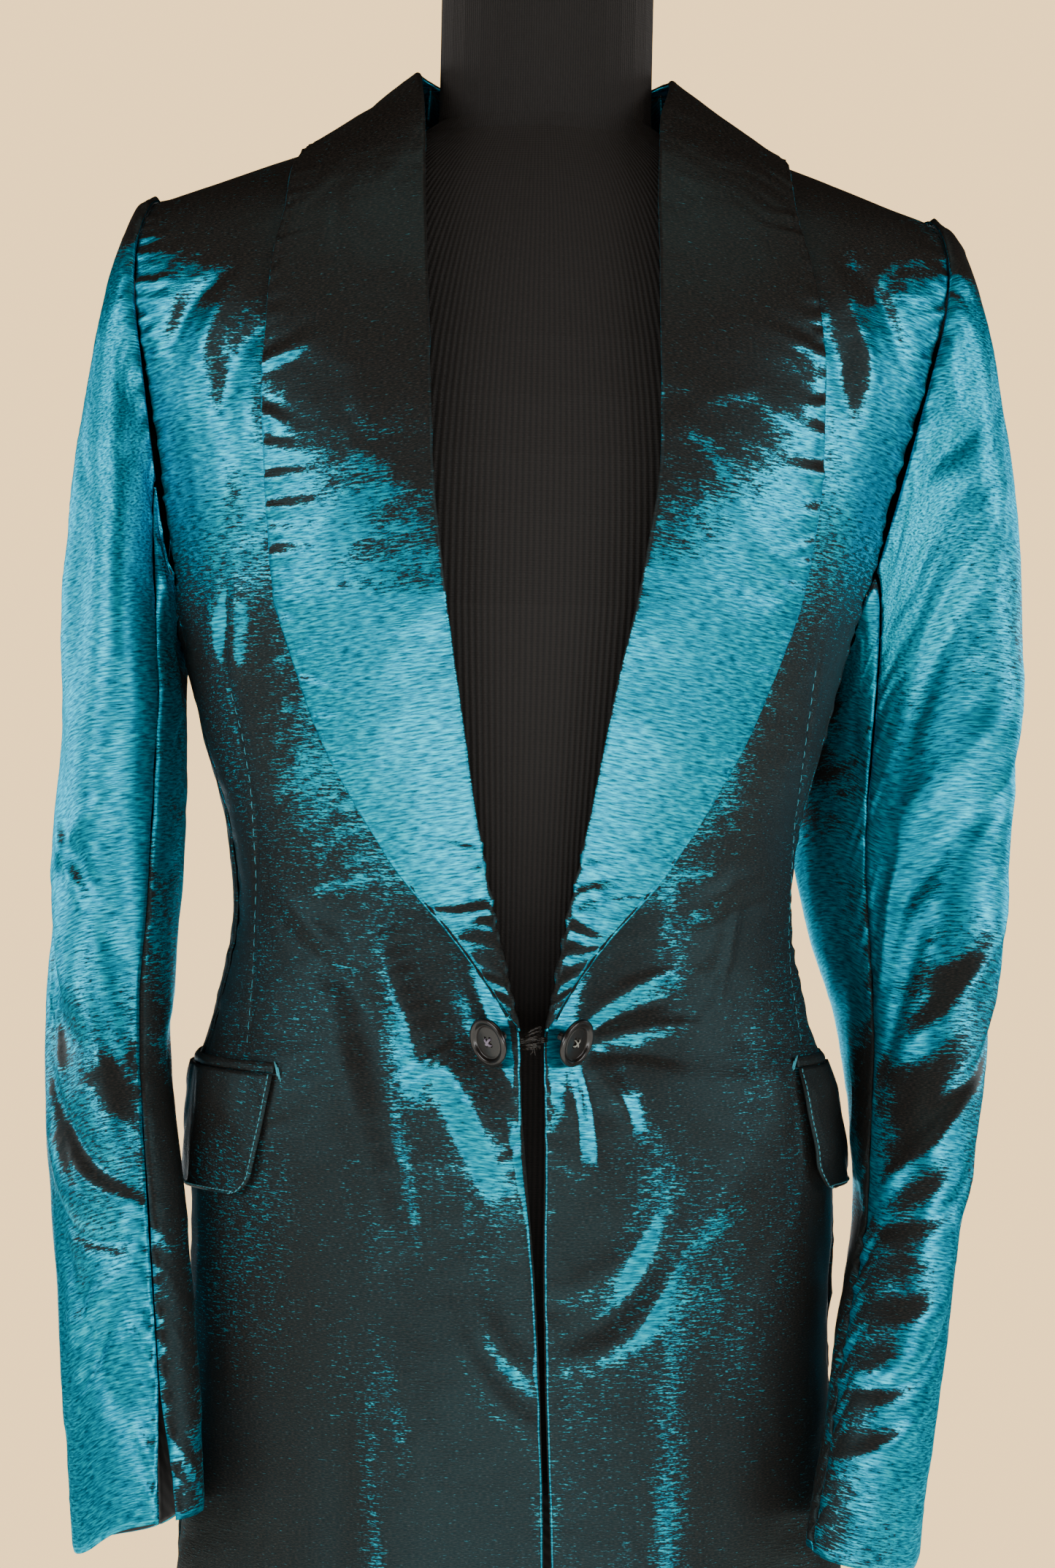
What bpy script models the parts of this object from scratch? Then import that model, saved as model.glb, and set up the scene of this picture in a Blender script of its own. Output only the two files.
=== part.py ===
"""Day coat with a shawl collar and a linked front, worn by a limbless dress form on a stand.

Metres, +Z up. The origin is the middle of the stand's foot, on the floor. The coat faces -Y, so the
wearer's left is at +X. Every panel of the coat is a patch of one worn shape, given by rings round
the body below the armpit and by arcs over the shoulder above it, with a wall laid on its outside.
"""

import math

import bmesh
import bpy
import numpy as np
from mathutils import Matrix

# Sizes of the cloth
CLOTH = 0.0018
SEAM_GAP = 0.0003
LAY_GAP = 0.0012  # between a panel and what lies on it

# Heights above the floor
HEM_HEIGHT = 0.520
ARMPIT_HEIGHT = 1.225
LINK_HEIGHT = 1.0165
SHOULDER_HEIGHT = 1.4240  # under the sleeve head

# The shoulder
SHOULDER_HALF = 0.1985
SHOULDER_SLOPE = 0.372
YOKE_HALF_TOP = 0.236  # half width that the chest's curve would reach at the shoulder's ridge
NECK_HALF = 0.064
NECK_DROP_DEG = 27.0  # how far the back neckline lies behind the ridge
YOKE_TURN = 90.0  # degrees of climb from the armpit's level to the ridge
SQUARENESS = 2.25  # 2 is an ellipse

# Seams, in degrees round the body from the centre front
FRONT_SEAM_DEG = 82.0
BACK_SEAM_DEG = 112.0
CENTRE_BACK_DEG = 180.0
EDGE_CROWDING = 1.12  # over 1, the front's columns stand closer together at its edge

# The worn body from the hem to the armpit
BODY_COLUMNS = ("height", "half_width", "front", "back", "shift")
BODY = (
    (0.520, 0.1820, 0.1290, 0.1400, -0.0020),
    (0.640, 0.1735, 0.1250, 0.1350, -0.0020),
    (0.740, 0.1665, 0.1215, 0.1305, -0.0022),
    (0.860, 0.1605, 0.1185, 0.1260, -0.0035),
    (0.950, 0.1610, 0.1170, 0.1215, -0.0040),
    (0.985, 0.1598, 0.1150, 0.1150, -0.0045),
    (1.020, 0.1488, 0.1100, 0.1035, -0.0055),
    (1.075, 0.1395, 0.1060, 0.0905, -0.0060),
    (1.110, 0.1420, 0.1095, 0.0905, -0.0075),
    (1.160, 0.1550, 0.1180, 0.0975, -0.0085),
    (1.225, 0.1712, 0.1265, 0.1090, -0.0078),
)
YOKE_FRONT = 0.1285
YOKE_BACK = 0.1150
YOKE_SHIFT = 0.0020

# The front opening: the roll line above the link, the cut edges below it
OPENING_COLUMNS = ("height", "half_gap", "middle")
OPENING = (
    (0.520, 0.0024, 0.0160),
    (0.764, 0.0017, 0.0108),
    (0.839, 0.0012, 0.0074),
    (0.895, 0.0019, 0.0045),
    (0.950, 0.0041, 0.0015),
    (0.989, 0.0053, -0.0009),
    (1.014, 0.0053, -0.0018),
    (1.036, 0.0097, -0.0021),
    (1.078, 0.0191, -0.0026),
    (1.130, 0.0297, -0.0030),
    (1.180, 0.0380, -0.0028),
    (1.250, 0.0505, -0.0010),
    (1.300, 0.0563, 0.0002),
    (1.375, 0.0575, -0.0008),
    (1.455, 0.0592, -0.0012),
    (1.476, 0.0640, 0.0020),
)

# How far the armhole lies from the middle, by the climb over the shoulder
ARMHOLE_COLUMNS = ("climb", "front", "back")
ARMHOLE = (
    (0.0, 0.1697, 0.1601),
    (7.0, 0.1772, 0.1688),
    (13.0, 0.1820, 0.1735),
    (21.0, 0.1880, 0.1785),
    (34.0, 0.1955, 0.1850),
    (44.0, 0.1998, 0.1895),
    (55.0, 0.2010, 0.1925),
    (65.0, 0.1998, 0.1940),
    (75.0, 0.1970, 0.1940),
    (90.0, 0.1930, 0.1930),
)
ARMPIT_DIP = 0.020

# Soft folds of the skirt: where they hang, how wide they are and how far they stand out at the hem
# columns: angle, width, stand
SKIRT_FOLDS = (
    (22.0, 13.0, 0.0030),
    (48.0, 12.0, -0.0040),
    (72.0, 9.0, 0.0060),
    (92.0, 8.0, -0.0055),
    (112.0, 9.0, 0.0070),
    (134.0, 9.0, -0.0060),
    (156.0, 10.0, 0.0070),
)
FOLD_START_HEIGHT = 0.960

# Drag folds that run down from the shoulder beside the armhole
# columns: across_top, across_low, width, stand
DRAG_FOLDS = (
    (0.166, 0.152, 0.008, 0.0030),
    (0.184, 0.164, 0.007, -0.0022),
)

# Where the link holds the edges together they stand forward as a ridge
LINK_RIDGE = 0.0120
LINK_RIDGE_WIDTH = 0.022
LINK_RIDGE_HEIGHT = 0.050

# Shawl collar: each station runs from the roll line out to the collar's edge
# columns: roll_height, edge_half, edge_height
COLLAR_FRONT = (
    (1.022, 0.0105, 1.0275),
    (1.042, 0.0245, 1.0470),
    (1.066, 0.0400, 1.0670),
    (1.095, 0.0610, 1.0920),
    (1.130, 0.0850, 1.1300),
    (1.165, 0.1040, 1.1660),
    (1.205, 0.1195, 1.2080),
    (1.250, 0.1290, 1.2500),
    (1.300, 0.1338, 1.2950),
    (1.350, 0.1352, 1.3400),
    (1.400, 0.1318, 1.3850),
    (1.436, 0.1252, 1.4170),
    (1.458, 0.1232, 1.4370),
)
# columns: roll_climb, edge_half, edge_climb
COLLAR_OVER = (
    (84.0, 0.1200, 80.0),
    (94.0, 0.1130, 98.0),
    (103.0, 0.0980, 112.0),
    (110.0, 0.0740, 122.0),
    (115.0, 0.0420, 127.5),
    (117.0, 0.0003, 129.0),
)
COLLAR_STAND_HEIGHT = 0.024
STAND_INSET = 0.0031  # from the neckline's curve, clear of the back's straight edges
STAND_LEAN = 0.0010
COLLAR_LIFT_START_DEG = 45.0
COLLAR_BOW = 0.0022
COLLAR_THICKNESS = 0.0024

# Sleeves: rings from the upper arm to the cuff, as flat ovals turned about the upright
SLEEVE_COLUMNS = ("height", "out", "ahead", "thin", "long", "turn")
SLEEVE_RIGHT = (
    (0.7695, 0.1870, -0.0630, 0.0240, 0.0450, 31.0),
    (0.820, 0.1912, -0.0530, 0.0255, 0.0470, 30.0),
    (0.880, 0.1968, -0.0420, 0.0275, 0.0482, 27.0),
    (0.940, 0.2034, -0.0290, 0.0292, 0.0500, 20.0),
    (0.990, 0.2080, -0.0180, 0.0300, 0.0525, 8.0),
    (1.030, 0.2093, -0.0090, 0.0302, 0.0555, 3.0),
    (1.110, 0.2060, 0.0020, 0.0305, 0.0610, -6.0),
    (1.170, 0.2052, 0.0040, 0.0292, 0.0650, -4.0),
)
SLEEVE_LEFT = (
    (0.7697, 0.1680, -0.0860, 0.0240, 0.0455, 24.0),
    (0.820, 0.1755, -0.0760, 0.0245, 0.0475, 14.0),
    (0.870, 0.1835, -0.0620, 0.0262, 0.0495, 8.0),
    (0.920, 0.1922, -0.0440, 0.0250, 0.0515, 2.0),
    (0.970, 0.1978, -0.0230, 0.0285, 0.0535, -6.0),
    (1.020, 0.2000, -0.0010, 0.0300, 0.0560, -22.0),
    (1.060, 0.1978, 0.0080, 0.0305, 0.0605, -38.0),
    (1.110, 0.1955, 0.0150, 0.0315, 0.0650, -46.0),
    (1.170, 0.1985, 0.0150, 0.0315, 0.0650, -42.0),
)
SLEEVE_FRONT_SEAM_DEG = {"right": 110.0, "left": 134.0}
SLEEVE_BACK_SEAM_DEG = -108.0
SLEEVE_RISE = {"right": 0.066, "left": 0.072}  # how strongly the head leaves the shoulder
SLEEVE_UNDERARM = 0.005  # outward under the arm, where it leaves downward
SLEEVE_DROP = 0.022
ARMHOLE_GAP = 0.0016
ARMHOLE_SOFTENING = 6  # how often the line's points are drawn towards their neighbours
SLEEVE_SEAM_DEG = 0.35  # half the gap of a sleeve's seam
SLEEVE_HEAD_SEAM_DEG = 0.55  # wider at the head, where the seam is bent inward
CUFF_SLANT = {"right": 0.0143, "left": 0.0095}  # half the height that the cuff's edge falls through
CUFF_LOW_DEG = {"right": -30.0, "left": 30.0}  # where on the sleeve its edge is lowest
CUFF_SLANT_HEIGHT = 0.900
VENT_HEIGHT = 0.845
VENT_OPEN_DEG = {"right": 9.0, "left": 0.8}

# Sleeve creases: a ridge or trough from one place to another on the sleeve
# columns: angle_top, height_top, angle_low, height_low, width, stand
CREASES_RIGHT = (
    (52.0, 1.140, 92.0, 1.030, 0.014, -0.0040),
    (24.0, 1.050, 74.0, 0.940, 0.015, -0.0038),
    (92.0, 0.970, 40.0, 0.880, 0.015, 0.0032),
    (40.0, 0.900, 84.0, 0.830, 0.013, -0.0028),
)
CREASES_LEFT = (
    (20.0, 1.150, 66.0, 1.010, 0.014, -0.0042),
    (62.0, 1.130, 100.0, 1.030, 0.014, 0.0034),
    (84.0, 0.990, 36.0, 0.900, 0.015, -0.0036),
    (44.0, 0.940, 96.0, 0.860, 0.014, 0.0030),
)

# Pockets, in degrees round the body
FLAP_TOP = {"right": 0.9945, "left": 1.0000}
FLAP_DEPTH = 0.0590
FLAP_FRONT_HALF = 0.1275  # from the middle of the opening
FLAP_MIDDLE = 0.004
FLAP_BACK_DEG = 108.0
FLAP_SLANT_DEG = 5.5
FLAP_CORNER = 0.22  # share of the depth that the corners take
FLAP_HANG = {"right": 0.0025, "left": 0.0060}
WELT_DEPTH = 0.0050
WELT_THICKNESS = 0.0014

# Link buttons
BUTTON_RADIUS = 0.0121
BUTTON_THICKNESS = 0.0030
BUTTON_OFF_MIDDLE = 0.0125
BUTTON_OUT_DEG = 50.0  # turned away from the middle
BUTTON_DOWN_DEG = 16.0
SHANK_RADIUS = 0.0022
SHANK_LENGTH = 0.0078
BUTTON_RISE = 0.0020  # above the link's middle
SHANK_SINK = {"left": 0.0002, "right": 0.0009}  # how far the flat faces lie under the curve there
LINK_DEPTH = 0.0042
LINK_TALL = 0.0140

# Dress form and stand
FORM_EASE = 0.0075
FORM_FRONT_EASE = 0.0120
FORM_BOTTOM = 0.800
FORM_TOP = 1.585
FORM_SHOULDER_EASE = 0.0006
FORM_NECK_EASE = 0.0070
FORM_NECK_HALF = 0.0540
FORM_NECK_DEEP = 0.0470
FORM_BLEND = 14.0
CAP_RADIUS = 0.0500
CAP_THICKNESS = 0.0080
POLE_RADIUS = 0.0125
BASE_RADIUS = 0.1900
BASE_THICKNESS = 0.0100
COLLAR_RING_RADIUS = 0.0300
COLLAR_RING_HEIGHT = 0.0200

SIDES = {"left": 1.0, "right": -1.0}


def clear_scene():
    for old in list(bpy.data.objects):
        bpy.data.objects.remove(old)


def make_material(name, colour, roughness, metallic=0.0):
    material = bpy.data.materials.new(name)
    material.use_nodes = True
    shader = material.node_tree.nodes["Principled BSDF"]
    shader.inputs["Base Color"].default_value = (*colour, 1.0)
    shader.inputs["Roughness"].default_value = roughness
    shader.inputs["Metallic"].default_value = metallic
    return material


def read_table(rows, columns, wanted, at):
    """A column of a table at the given places, on a smooth curve that doesn't overshoot its rows."""
    places = np.array([row[0] for row in rows])
    values = np.array([row[columns.index(wanted)] for row in rows])
    steps = np.diff(places)
    slopes = np.diff(values) / steps
    tangents = np.zeros(len(rows))
    same_way = slopes[:-1] * slopes[1:] > 0
    harmonic = 2 * slopes[:-1] * slopes[1:] / np.where(same_way, slopes[:-1] + slopes[1:], 1.0)
    tangents[1:-1] = np.where(same_way, harmonic, 0.0)
    tangents[0], tangents[-1] = slopes[0], slopes[-1]
    at = np.clip(np.asarray(at, float), places[0], places[-1])
    row = np.clip(np.searchsorted(places, at) - 1, 0, len(rows) - 2)
    share = (at - places[row]) / steps[row]
    rise = steps[row] * (
        tangents[row] * (share - 2 * share**2 + share**3)
        + tangents[row + 1] * (share**3 - share**2)
    )
    return values[row] + (values[row + 1] - values[row]) * (3 * share**2 - 2 * share**3) + rise


def signed_power(value, power):
    return np.sign(value) * np.abs(value) ** power


def ease_in(share):
    """0 before 0, 1 after 1, and a smooth step between."""
    share = np.clip(share, 0.0, 1.0)
    return share * share * (3 - 2 * share)


def bell(distance, width):
    return np.exp(-((distance / width) ** 2))


def stack(*parts):
    return np.stack(np.broadcast_arrays(*parts), axis=-1).astype(float)


def curve_depth(across_share):
    """Depth of the worn section at a share of its half width, from 1 in the middle to 0 at the side."""
    return np.clip(1 - np.abs(across_share) ** SQUARENESS, 0, 1) ** (1 / SQUARENESS)


def skirt_wave(angle, height):
    """How far the skirt's folds stand out, growing from the hip to the hem."""
    grown = ease_in((FOLD_START_HEIGHT - height) / (FOLD_START_HEIGHT - HEM_HEIGHT))
    wave = sum(stand * bell(np.abs(angle) - at, width) for at, width, stand in SKIRT_FOLDS)
    return grown * wave


def link_ridge(across, height):
    """How far the linked front edges stand forward."""
    return LINK_RIDGE * bell(across, LINK_RIDGE_WIDTH) * bell(height - LINK_HEIGHT, LINK_RIDGE_HEIGHT)


def girth(angle, height, side):
    """A point on the cloth's inner face below the armpit: degrees from the centre front, and height."""
    turn = np.radians(angle)
    across = signed_power(np.sin(turn), 2 / SQUARENESS)
    along = signed_power(np.cos(turn), 2 / SQUARENESS)
    half = read_table(BODY, BODY_COLUMNS, "half_width", height)
    front = read_table(BODY, BODY_COLUMNS, "front", height)
    back = read_table(BODY, BODY_COLUMNS, "back", height)
    shift = read_table(BODY, BODY_COLUMNS, "shift", height)
    wave = skirt_wave(angle, height)
    x = (half + wave) * across
    y = np.where(along > 0, -(front + wave) * along, -(back + wave) * along)
    y = y - np.where(along > 0, link_ridge(x, height), 0.0)
    return stack(side * x + shift, y, height)


def shoulder_line(across):
    return SHOULDER_HEIGHT + SHOULDER_SLOPE * (SHOULDER_HALF - np.abs(across))


def roundness(across, climb):
    """How square the arc over the shoulder is: rounder beside the neck, squarer at the sleeve."""
    outer = ease_in((np.abs(across) - 0.05) / 0.13)
    return np.where(climb <= YOKE_TURN, 2.0 + 0.7 * outer, 2.3 + 0.4 * outer)


def yoke_half(climb):
    rise = np.sin(np.radians(np.where(climb > YOKE_TURN, 2 * YOKE_TURN - climb, climb)))
    low = BODY[-1][BODY_COLUMNS.index("half_width")]
    return low + (YOKE_HALF_TOP - low) * rise**0.8


def yoke(across, climb, side):
    """A point above the armpit: distance from the middle, and degrees climbed from the front armpit
    level (0) over the ridge (90) down to the back armpit level (180)."""
    behind = climb > YOKE_TURN
    steep = np.radians(np.where(behind, 2 * YOKE_TURN - climb, climb))
    power = 2 / roundness(across, climb)
    risen = np.clip(np.sin(steep), 0, 1) ** power
    left = np.clip(np.cos(steep), 0, 1) ** power
    low_front = BODY[-1][BODY_COLUMNS.index("front")]
    low_back = BODY[-1][BODY_COLUMNS.index("back")]
    grown = ease_in(risen / 0.35)
    deep = np.where(
        behind,
        low_back + (YOKE_BACK - low_back) * grown,
        low_front + (YOKE_FRONT - low_front) * grown,
    )
    depth = deep * curve_depth(across / yoke_half(climb)) * left + SEAM_GAP * 0.7
    reach = ease_in(1 - risen / 0.95)
    for top, low, width, stand in DRAG_FOLDS:
        at = low + (top - low) * risen
        depth = depth + np.where(behind, 0.0, stand * bell(across - at, width)) * reach * ease_in(risen / 0.3)
    z = ARMPIT_HEIGHT + risen * (shoulder_line(across) - ARMPIT_HEIGHT)
    low_shift = BODY[-1][BODY_COLUMNS.index("shift")]
    shift = low_shift + (YOKE_SHIFT - low_shift) * risen
    return stack(side * across + shift, np.where(behind, depth, -depth), z)


def skin(across, travel, side):
    """A point by its distance from the middle and its travel: metres below the armpit level where
    travel is negative, and degrees climbed over the shoulder where it is positive."""
    height = ARMPIT_HEIGHT + np.minimum(travel, 0.0)
    half = read_table(BODY, BODY_COLUMNS, "half_width", height)
    share = np.clip(signed_power(across / half, SQUARENESS / 2), -1, 1)
    low = girth(np.degrees(np.arcsin(share)), height, side)
    high = yoke(across, np.maximum(travel, 0.0), side)
    return np.where((travel <= 0)[..., None], low, high)


def travel_of(across, height):
    """The travel of a point on the front at that distance from the middle and height."""
    over = np.clip((height - ARMPIT_HEIGHT) / (shoulder_line(across) - ARMPIT_HEIGHT), 0, 1)
    climb = np.degrees(np.arcsin(over ** (roundness(across, np.zeros_like(across)) / 2)))
    return np.where(height > ARMPIT_HEIGHT, climb, height - ARMPIT_HEIGHT)


def raised(surface, first, second, side, distance):
    """Points of a surface moved out along its normal."""
    point = surface(first, second, side)
    small_first = 1e-3 if surface is skin or surface is yoke else 0.2
    upright = np.where(np.asarray(second) > 0, 0.3, 1e-3) if surface is skin else 1e-3
    upright = 0.3 if surface is yoke else upright
    along = surface(first + small_first, second, side) - surface(first - small_first, second, side)
    up = surface(first, second + upright, side) - surface(first, second - upright, side)
    normal = np.cross(along, up) * side
    normal /= np.maximum(np.linalg.norm(normal, axis=-1, keepdims=True), 1e-12)
    return point + normal * np.asarray(distance)[..., None]


def body_shift(height):
    """How far the worn body's middle stands to the side."""
    low = read_table(BODY, BODY_COLUMNS, "shift", height)
    over = np.clip((height - ARMPIT_HEIGHT) / (SHOULDER_HEIGHT - ARMPIT_HEIGHT), 0, 1)
    return low + (YOKE_SHIFT - BODY[-1][BODY_COLUMNS.index("shift")]) * over


def off_middle(height, side):
    """What a distance from the opening's middle gains when it is taken from the body's middle."""
    middle = read_table(OPENING, OPENING_COLUMNS, "middle", height)
    return side * (middle - body_shift(height))


def opening_edge(height, side):
    """Distance of the front edge or roll line from the body's middle, on one side."""
    return read_table(OPENING, OPENING_COLUMNS, "half_gap", height) + off_middle(height, side)


def angle_at(across, half):
    return np.degrees(np.arcsin(np.clip(signed_power(across / half, SQUARENESS / 2), -1, 1)))


BODY_LEVELS = np.concatenate(
    [np.linspace(HEM_HEIGHT, 0.950, 7), np.linspace(0.985, ARMPIT_HEIGHT, 9)]
)
CLIMBS = np.array([0, 7, 15, 24, 34, 45, 56, 67, 78, 86, 90.0])


def level_and_climb(share, levels, climbs):
    """Rows below the armpit, then rows over the shoulder: the height and the climb of each row."""
    below = len(levels) - 1
    row = np.rint(share * (below + len(climbs) - 1)).astype(int)
    height = levels[np.clip(row, 0, below)]
    climb = climbs[np.clip(row - below, 0, len(climbs) - 1)]
    return height, climb, row > below


def front_panel(side):
    def surface(u, v):
        height, climb, above = level_and_climb(v, BODY_LEVELS, CLIMBS)
        half = read_table(BODY, BODY_COLUMNS, "half_width", height)
        u = u**EDGE_CROWDING
        start = angle_at(opening_edge(height, side), half)
        angle = start + (FRONT_SEAM_DEG - start) * u
        inset = SEAM_GAP / 2 / half * np.degrees(1)
        low = girth(np.minimum(angle, FRONT_SEAM_DEG - inset), height, side)
        near = np.full_like(u, NECK_HALF)
        risen = np.sin(np.radians(climb)) ** (2 / roundness(near, climb))
        at = ARMPIT_HEIGHT + risen * (shoulder_line(near) - ARMPIT_HEIGHT)
        wide = yoke_half(climb)
        start = angle_at(opening_edge(at, side), wide)
        end = angle_at(read_table(ARMHOLE, ARMHOLE_COLUMNS, "front", climb), wide)
        across = wide * signed_power(np.sin(np.radians(start + (end - start) * u)), 2 / SQUARENESS)
        high = yoke(across, climb, side)
        return np.where(above[..., None], high, low)

    return surface


def side_panel(side):
    def surface(u, v):
        row = np.rint(v * (len(BODY_LEVELS) - 1)).astype(int)
        half = read_table(BODY, BODY_COLUMNS, "half_width", BODY_LEVELS[row])
        inset = SEAM_GAP / half * np.degrees(1)
        angle = FRONT_SEAM_DEG + inset + (BACK_SEAM_DEG - FRONT_SEAM_DEG - 2 * inset) * u
        dip = ARMPIT_DIP * np.sin(np.pi * u) ** 0.8 * v**6
        return girth(angle, BODY_LEVELS[row] - dip, side)

    return surface


def neck_climb(across):
    """The climb at which the back panel ends: the neckline, or the shoulder's ridge beyond it."""
    share = np.clip(np.abs(across) / NECK_HALF, 0, 1)
    return YOKE_TURN + 0.01 + NECK_DROP_DEG * np.sqrt(1 - share**2)


def back_panel(side):
    def surface(u, v):
        height, climb, above = level_and_climb(v, BODY_LEVELS, CLIMBS)
        vent = 0.0006 + 0.0016 * ease_in((0.84 - height) / 0.30)
        half = read_table(BODY, BODY_COLUMNS, "half_width", height)
        start = BACK_SEAM_DEG + SEAM_GAP / half * np.degrees(1)
        middle = CENTRE_BACK_DEG - np.degrees(np.arcsin((vent / half) ** (SQUARENESS / 2)))
        low = girth(start + (middle - start) * u, height, side)
        wide = yoke_half(climb)
        end = angle_at(read_table(ARMHOLE, ARMHOLE_COLUMNS, "back", climb), wide)
        angle = end * (1 - u) + np.degrees(np.arcsin((0.0006 / wide) ** (SQUARENESS / 2))) * u
        across = wide * np.sin(np.radians(angle)) ** (2 / SQUARENESS)
        share = climb / YOKE_TURN
        high = yoke(across, 2 * YOKE_TURN - (2 * YOKE_TURN - neck_climb(across)) * share, side)
        return np.where(above[..., None], high, low)

    return surface


def grid_object(name, surface, columns, rows, side, material):
    """An open sheet of cloth: a grid moved onto surface(u, v), with its faces turned outward."""
    mesh = bpy.data.meshes.new(name)
    shape = bmesh.new()
    bmesh.ops.create_grid(shape, x_segments=columns, y_segments=rows, size=0.5)
    u = np.array([vertex.co.x for vertex in shape.verts]) + 0.5
    v = np.array([vertex.co.y for vertex in shape.verts]) + 0.5
    for vertex, place in zip(shape.verts, surface(u, v)):
        vertex.co = place
    if side < 0:
        bmesh.ops.reverse_faces(shape, faces=shape.faces)
    shape.to_mesh(mesh)
    shape.free()
    mesh.shade_smooth()
    mesh.materials.append(material)
    made = bpy.data.objects.new(name, mesh)
    bpy.data.collections["day_coat"].objects.link(made)
    return made


def add_wall(made, thickness):
    wall = made.modifiers.new("wall", "SOLIDIFY")
    wall.thickness = thickness
    wall.offset = 1.0
    wall.use_quality_normals = True


def cloth(name, surface, columns, rows, side, material, thickness=CLOTH):
    made = grid_object(name, surface, columns, rows, side, material)
    add_wall(made, thickness)
    return made


def collar_lines(side):
    """For each collar station: the roll's height or climb, and the edge's distance and travel."""
    low = np.array(COLLAR_FRONT)
    edge_half = low[:, 1] + off_middle(low[:, 2], side)
    edge_travel = travel_of(edge_half, low[:, 2])
    roll_travel = travel_of(np.full(len(low), NECK_HALF), low[:, 0])
    over = np.array(COLLAR_OVER)
    stations = np.concatenate([np.arange(len(low)), np.arange(len(over)) + len(low)])
    return (
        stations,
        np.concatenate([roll_travel, over[:, 0]]),
        np.concatenate([edge_half, over[:, 1]]),
        np.concatenate([edge_travel, over[:, 2]]),
    )


def as_metres(travel):
    """Travel with its climb turned from degrees to metres, so that it can be read off smoothly."""
    return np.where(travel > 0, travel * 0.0035, travel)


def as_travel(metres):
    return np.where(metres > 0, metres / 0.0035, metres)


def collar(side):
    stations, roll, edge_half, edge = collar_lines(side)
    roll_rows = list(zip(stations, as_metres(roll)))
    edge_rows = list(zip(stations, as_metres(edge), edge_half))

    def surface(u, v):
        place = v * stations[-1]
        roll_travel = as_travel(read_table(roll_rows, ("at", "roll"), "roll", place))
        edge_travel = as_travel(read_table(edge_rows, ("at", "edge", "half"), "edge", place))
        far = read_table(edge_rows, ("at", "edge", "half"), "half", place)
        near_height = np.where(
            roll_travel > 0,
            ARMPIT_HEIGHT
            + np.sin(np.radians(np.clip(roll_travel, 0, 90)))
            * (shoulder_line(NECK_HALF) - ARMPIT_HEIGHT),
            ARMPIT_HEIGHT + roll_travel,
        )
        near = opening_edge(near_height, side)
        behind = np.clip((roll_travel - YOKE_TURN) / NECK_DROP_DEG, 0, 1)
        near = np.where(roll_travel > YOKE_TURN, NECK_HALF * np.sqrt(1 - behind**2), near)
        near = np.maximum(near, 0.0003)
        across = near + (far - near) * u
        travel = as_travel(
            as_metres(roll_travel) + (as_metres(edge_travel) - as_metres(roll_travel)) * u
        )
        climbed = np.maximum(roll_travel, 0.0)
        off = CLOTH + LAY_GAP + COLLAR_BOW * np.sin(np.pi * u) * ease_in(v / 0.25)
        point = raised(skin, across, travel, side, off)
        lift = COLLAR_STAND_HEIGHT * ease_in((climbed - COLLAR_LIFT_START_DEG) / 60.0)
        point[..., 2] += lift * (1 - u) ** 1.7
        return point

    return surface


def collar_stand(side_share):
    """The band inside the neck that carries the collar's fold, from side to side round the back."""

    def surface(u, v):
        turn = (u * 2 - 1) * 1.0
        side = np.where(turn < 0, -1.0, 1.0)
        around = np.abs(turn)
        across = np.maximum(NECK_HALF * np.sin(around * np.pi / 2), 1e-4)
        climb = neck_climb(across)
        neck = yoke(across, climb, side)
        inward = np.stack([-side * np.sin(around * np.pi / 2), -np.cos(around * np.pi / 2)], -1)
        rise = COLLAR_STAND_HEIGHT * (0.70 + 0.22 * (1 - around))
        neck[..., :2] += inward * (STAND_INSET + STAND_LEAN * v[..., None])
        neck[..., 2] += 0.001 + rise * v * side_share
        return neck

    return surface


def sleeve_rows(which):
    return SLEEVE_LEFT if which == "left" else SLEEVE_RIGHT


def crease(which, angle, height):
    """How far the sleeve's creases stand out or sink in."""
    total = 0.0
    for a_top, z_top, a_low, z_low, width, stand in CREASES_LEFT if which == "left" else CREASES_RIGHT:
        share = np.clip((z_top - height) / (z_top - z_low), -0.4, 1.4)
        away = (angle - (a_top + (a_low - a_top) * share)) * 0.0008
        fade = ease_in((share + 0.4) / 0.5) * ease_in((1.4 - share) / 0.5)
        total = total + stand * bell(away, width) * fade
    return total


def sleeve_ring(which, angle, height):
    """A point of a sleeve's inner face below the upper arm: degrees from outward, and height."""
    rows = sleeve_rows(which)
    side = SIDES[which]
    out, ahead, thin, long, turn = (
        read_table(rows, SLEEVE_COLUMNS, name, height) for name in SLEEVE_COLUMNS[1:]
    )
    lean = np.radians(angle - turn)
    radius = thin * long / np.sqrt((long * np.cos(lean)) ** 2 + (thin * np.sin(lean)) ** 2)
    radius = radius + crease(which, angle, height)
    x = side * (out + radius * np.cos(np.radians(angle)))
    y = ahead - radius * np.sin(np.radians(angle))
    slanted = ease_in((CUFF_SLANT_HEIGHT - height) / (CUFF_SLANT_HEIGHT - rows[0][0]))
    z = height - CUFF_SLANT[which] * slanted * np.cos(np.radians(angle - CUFF_LOW_DEG[which]))
    return stack(x, y, z)


def evenly_spaced(points, count):
    """The same line with its points at equal distances along it."""
    steps = np.linalg.norm(np.diff(points, axis=0), axis=1)
    along = np.concatenate([[0.0], np.cumsum(steps)])
    at = np.linspace(0.0, along[-1], count)
    return np.stack([np.interp(at, along, points[:, axis]) for axis in range(3)], axis=-1)


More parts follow.
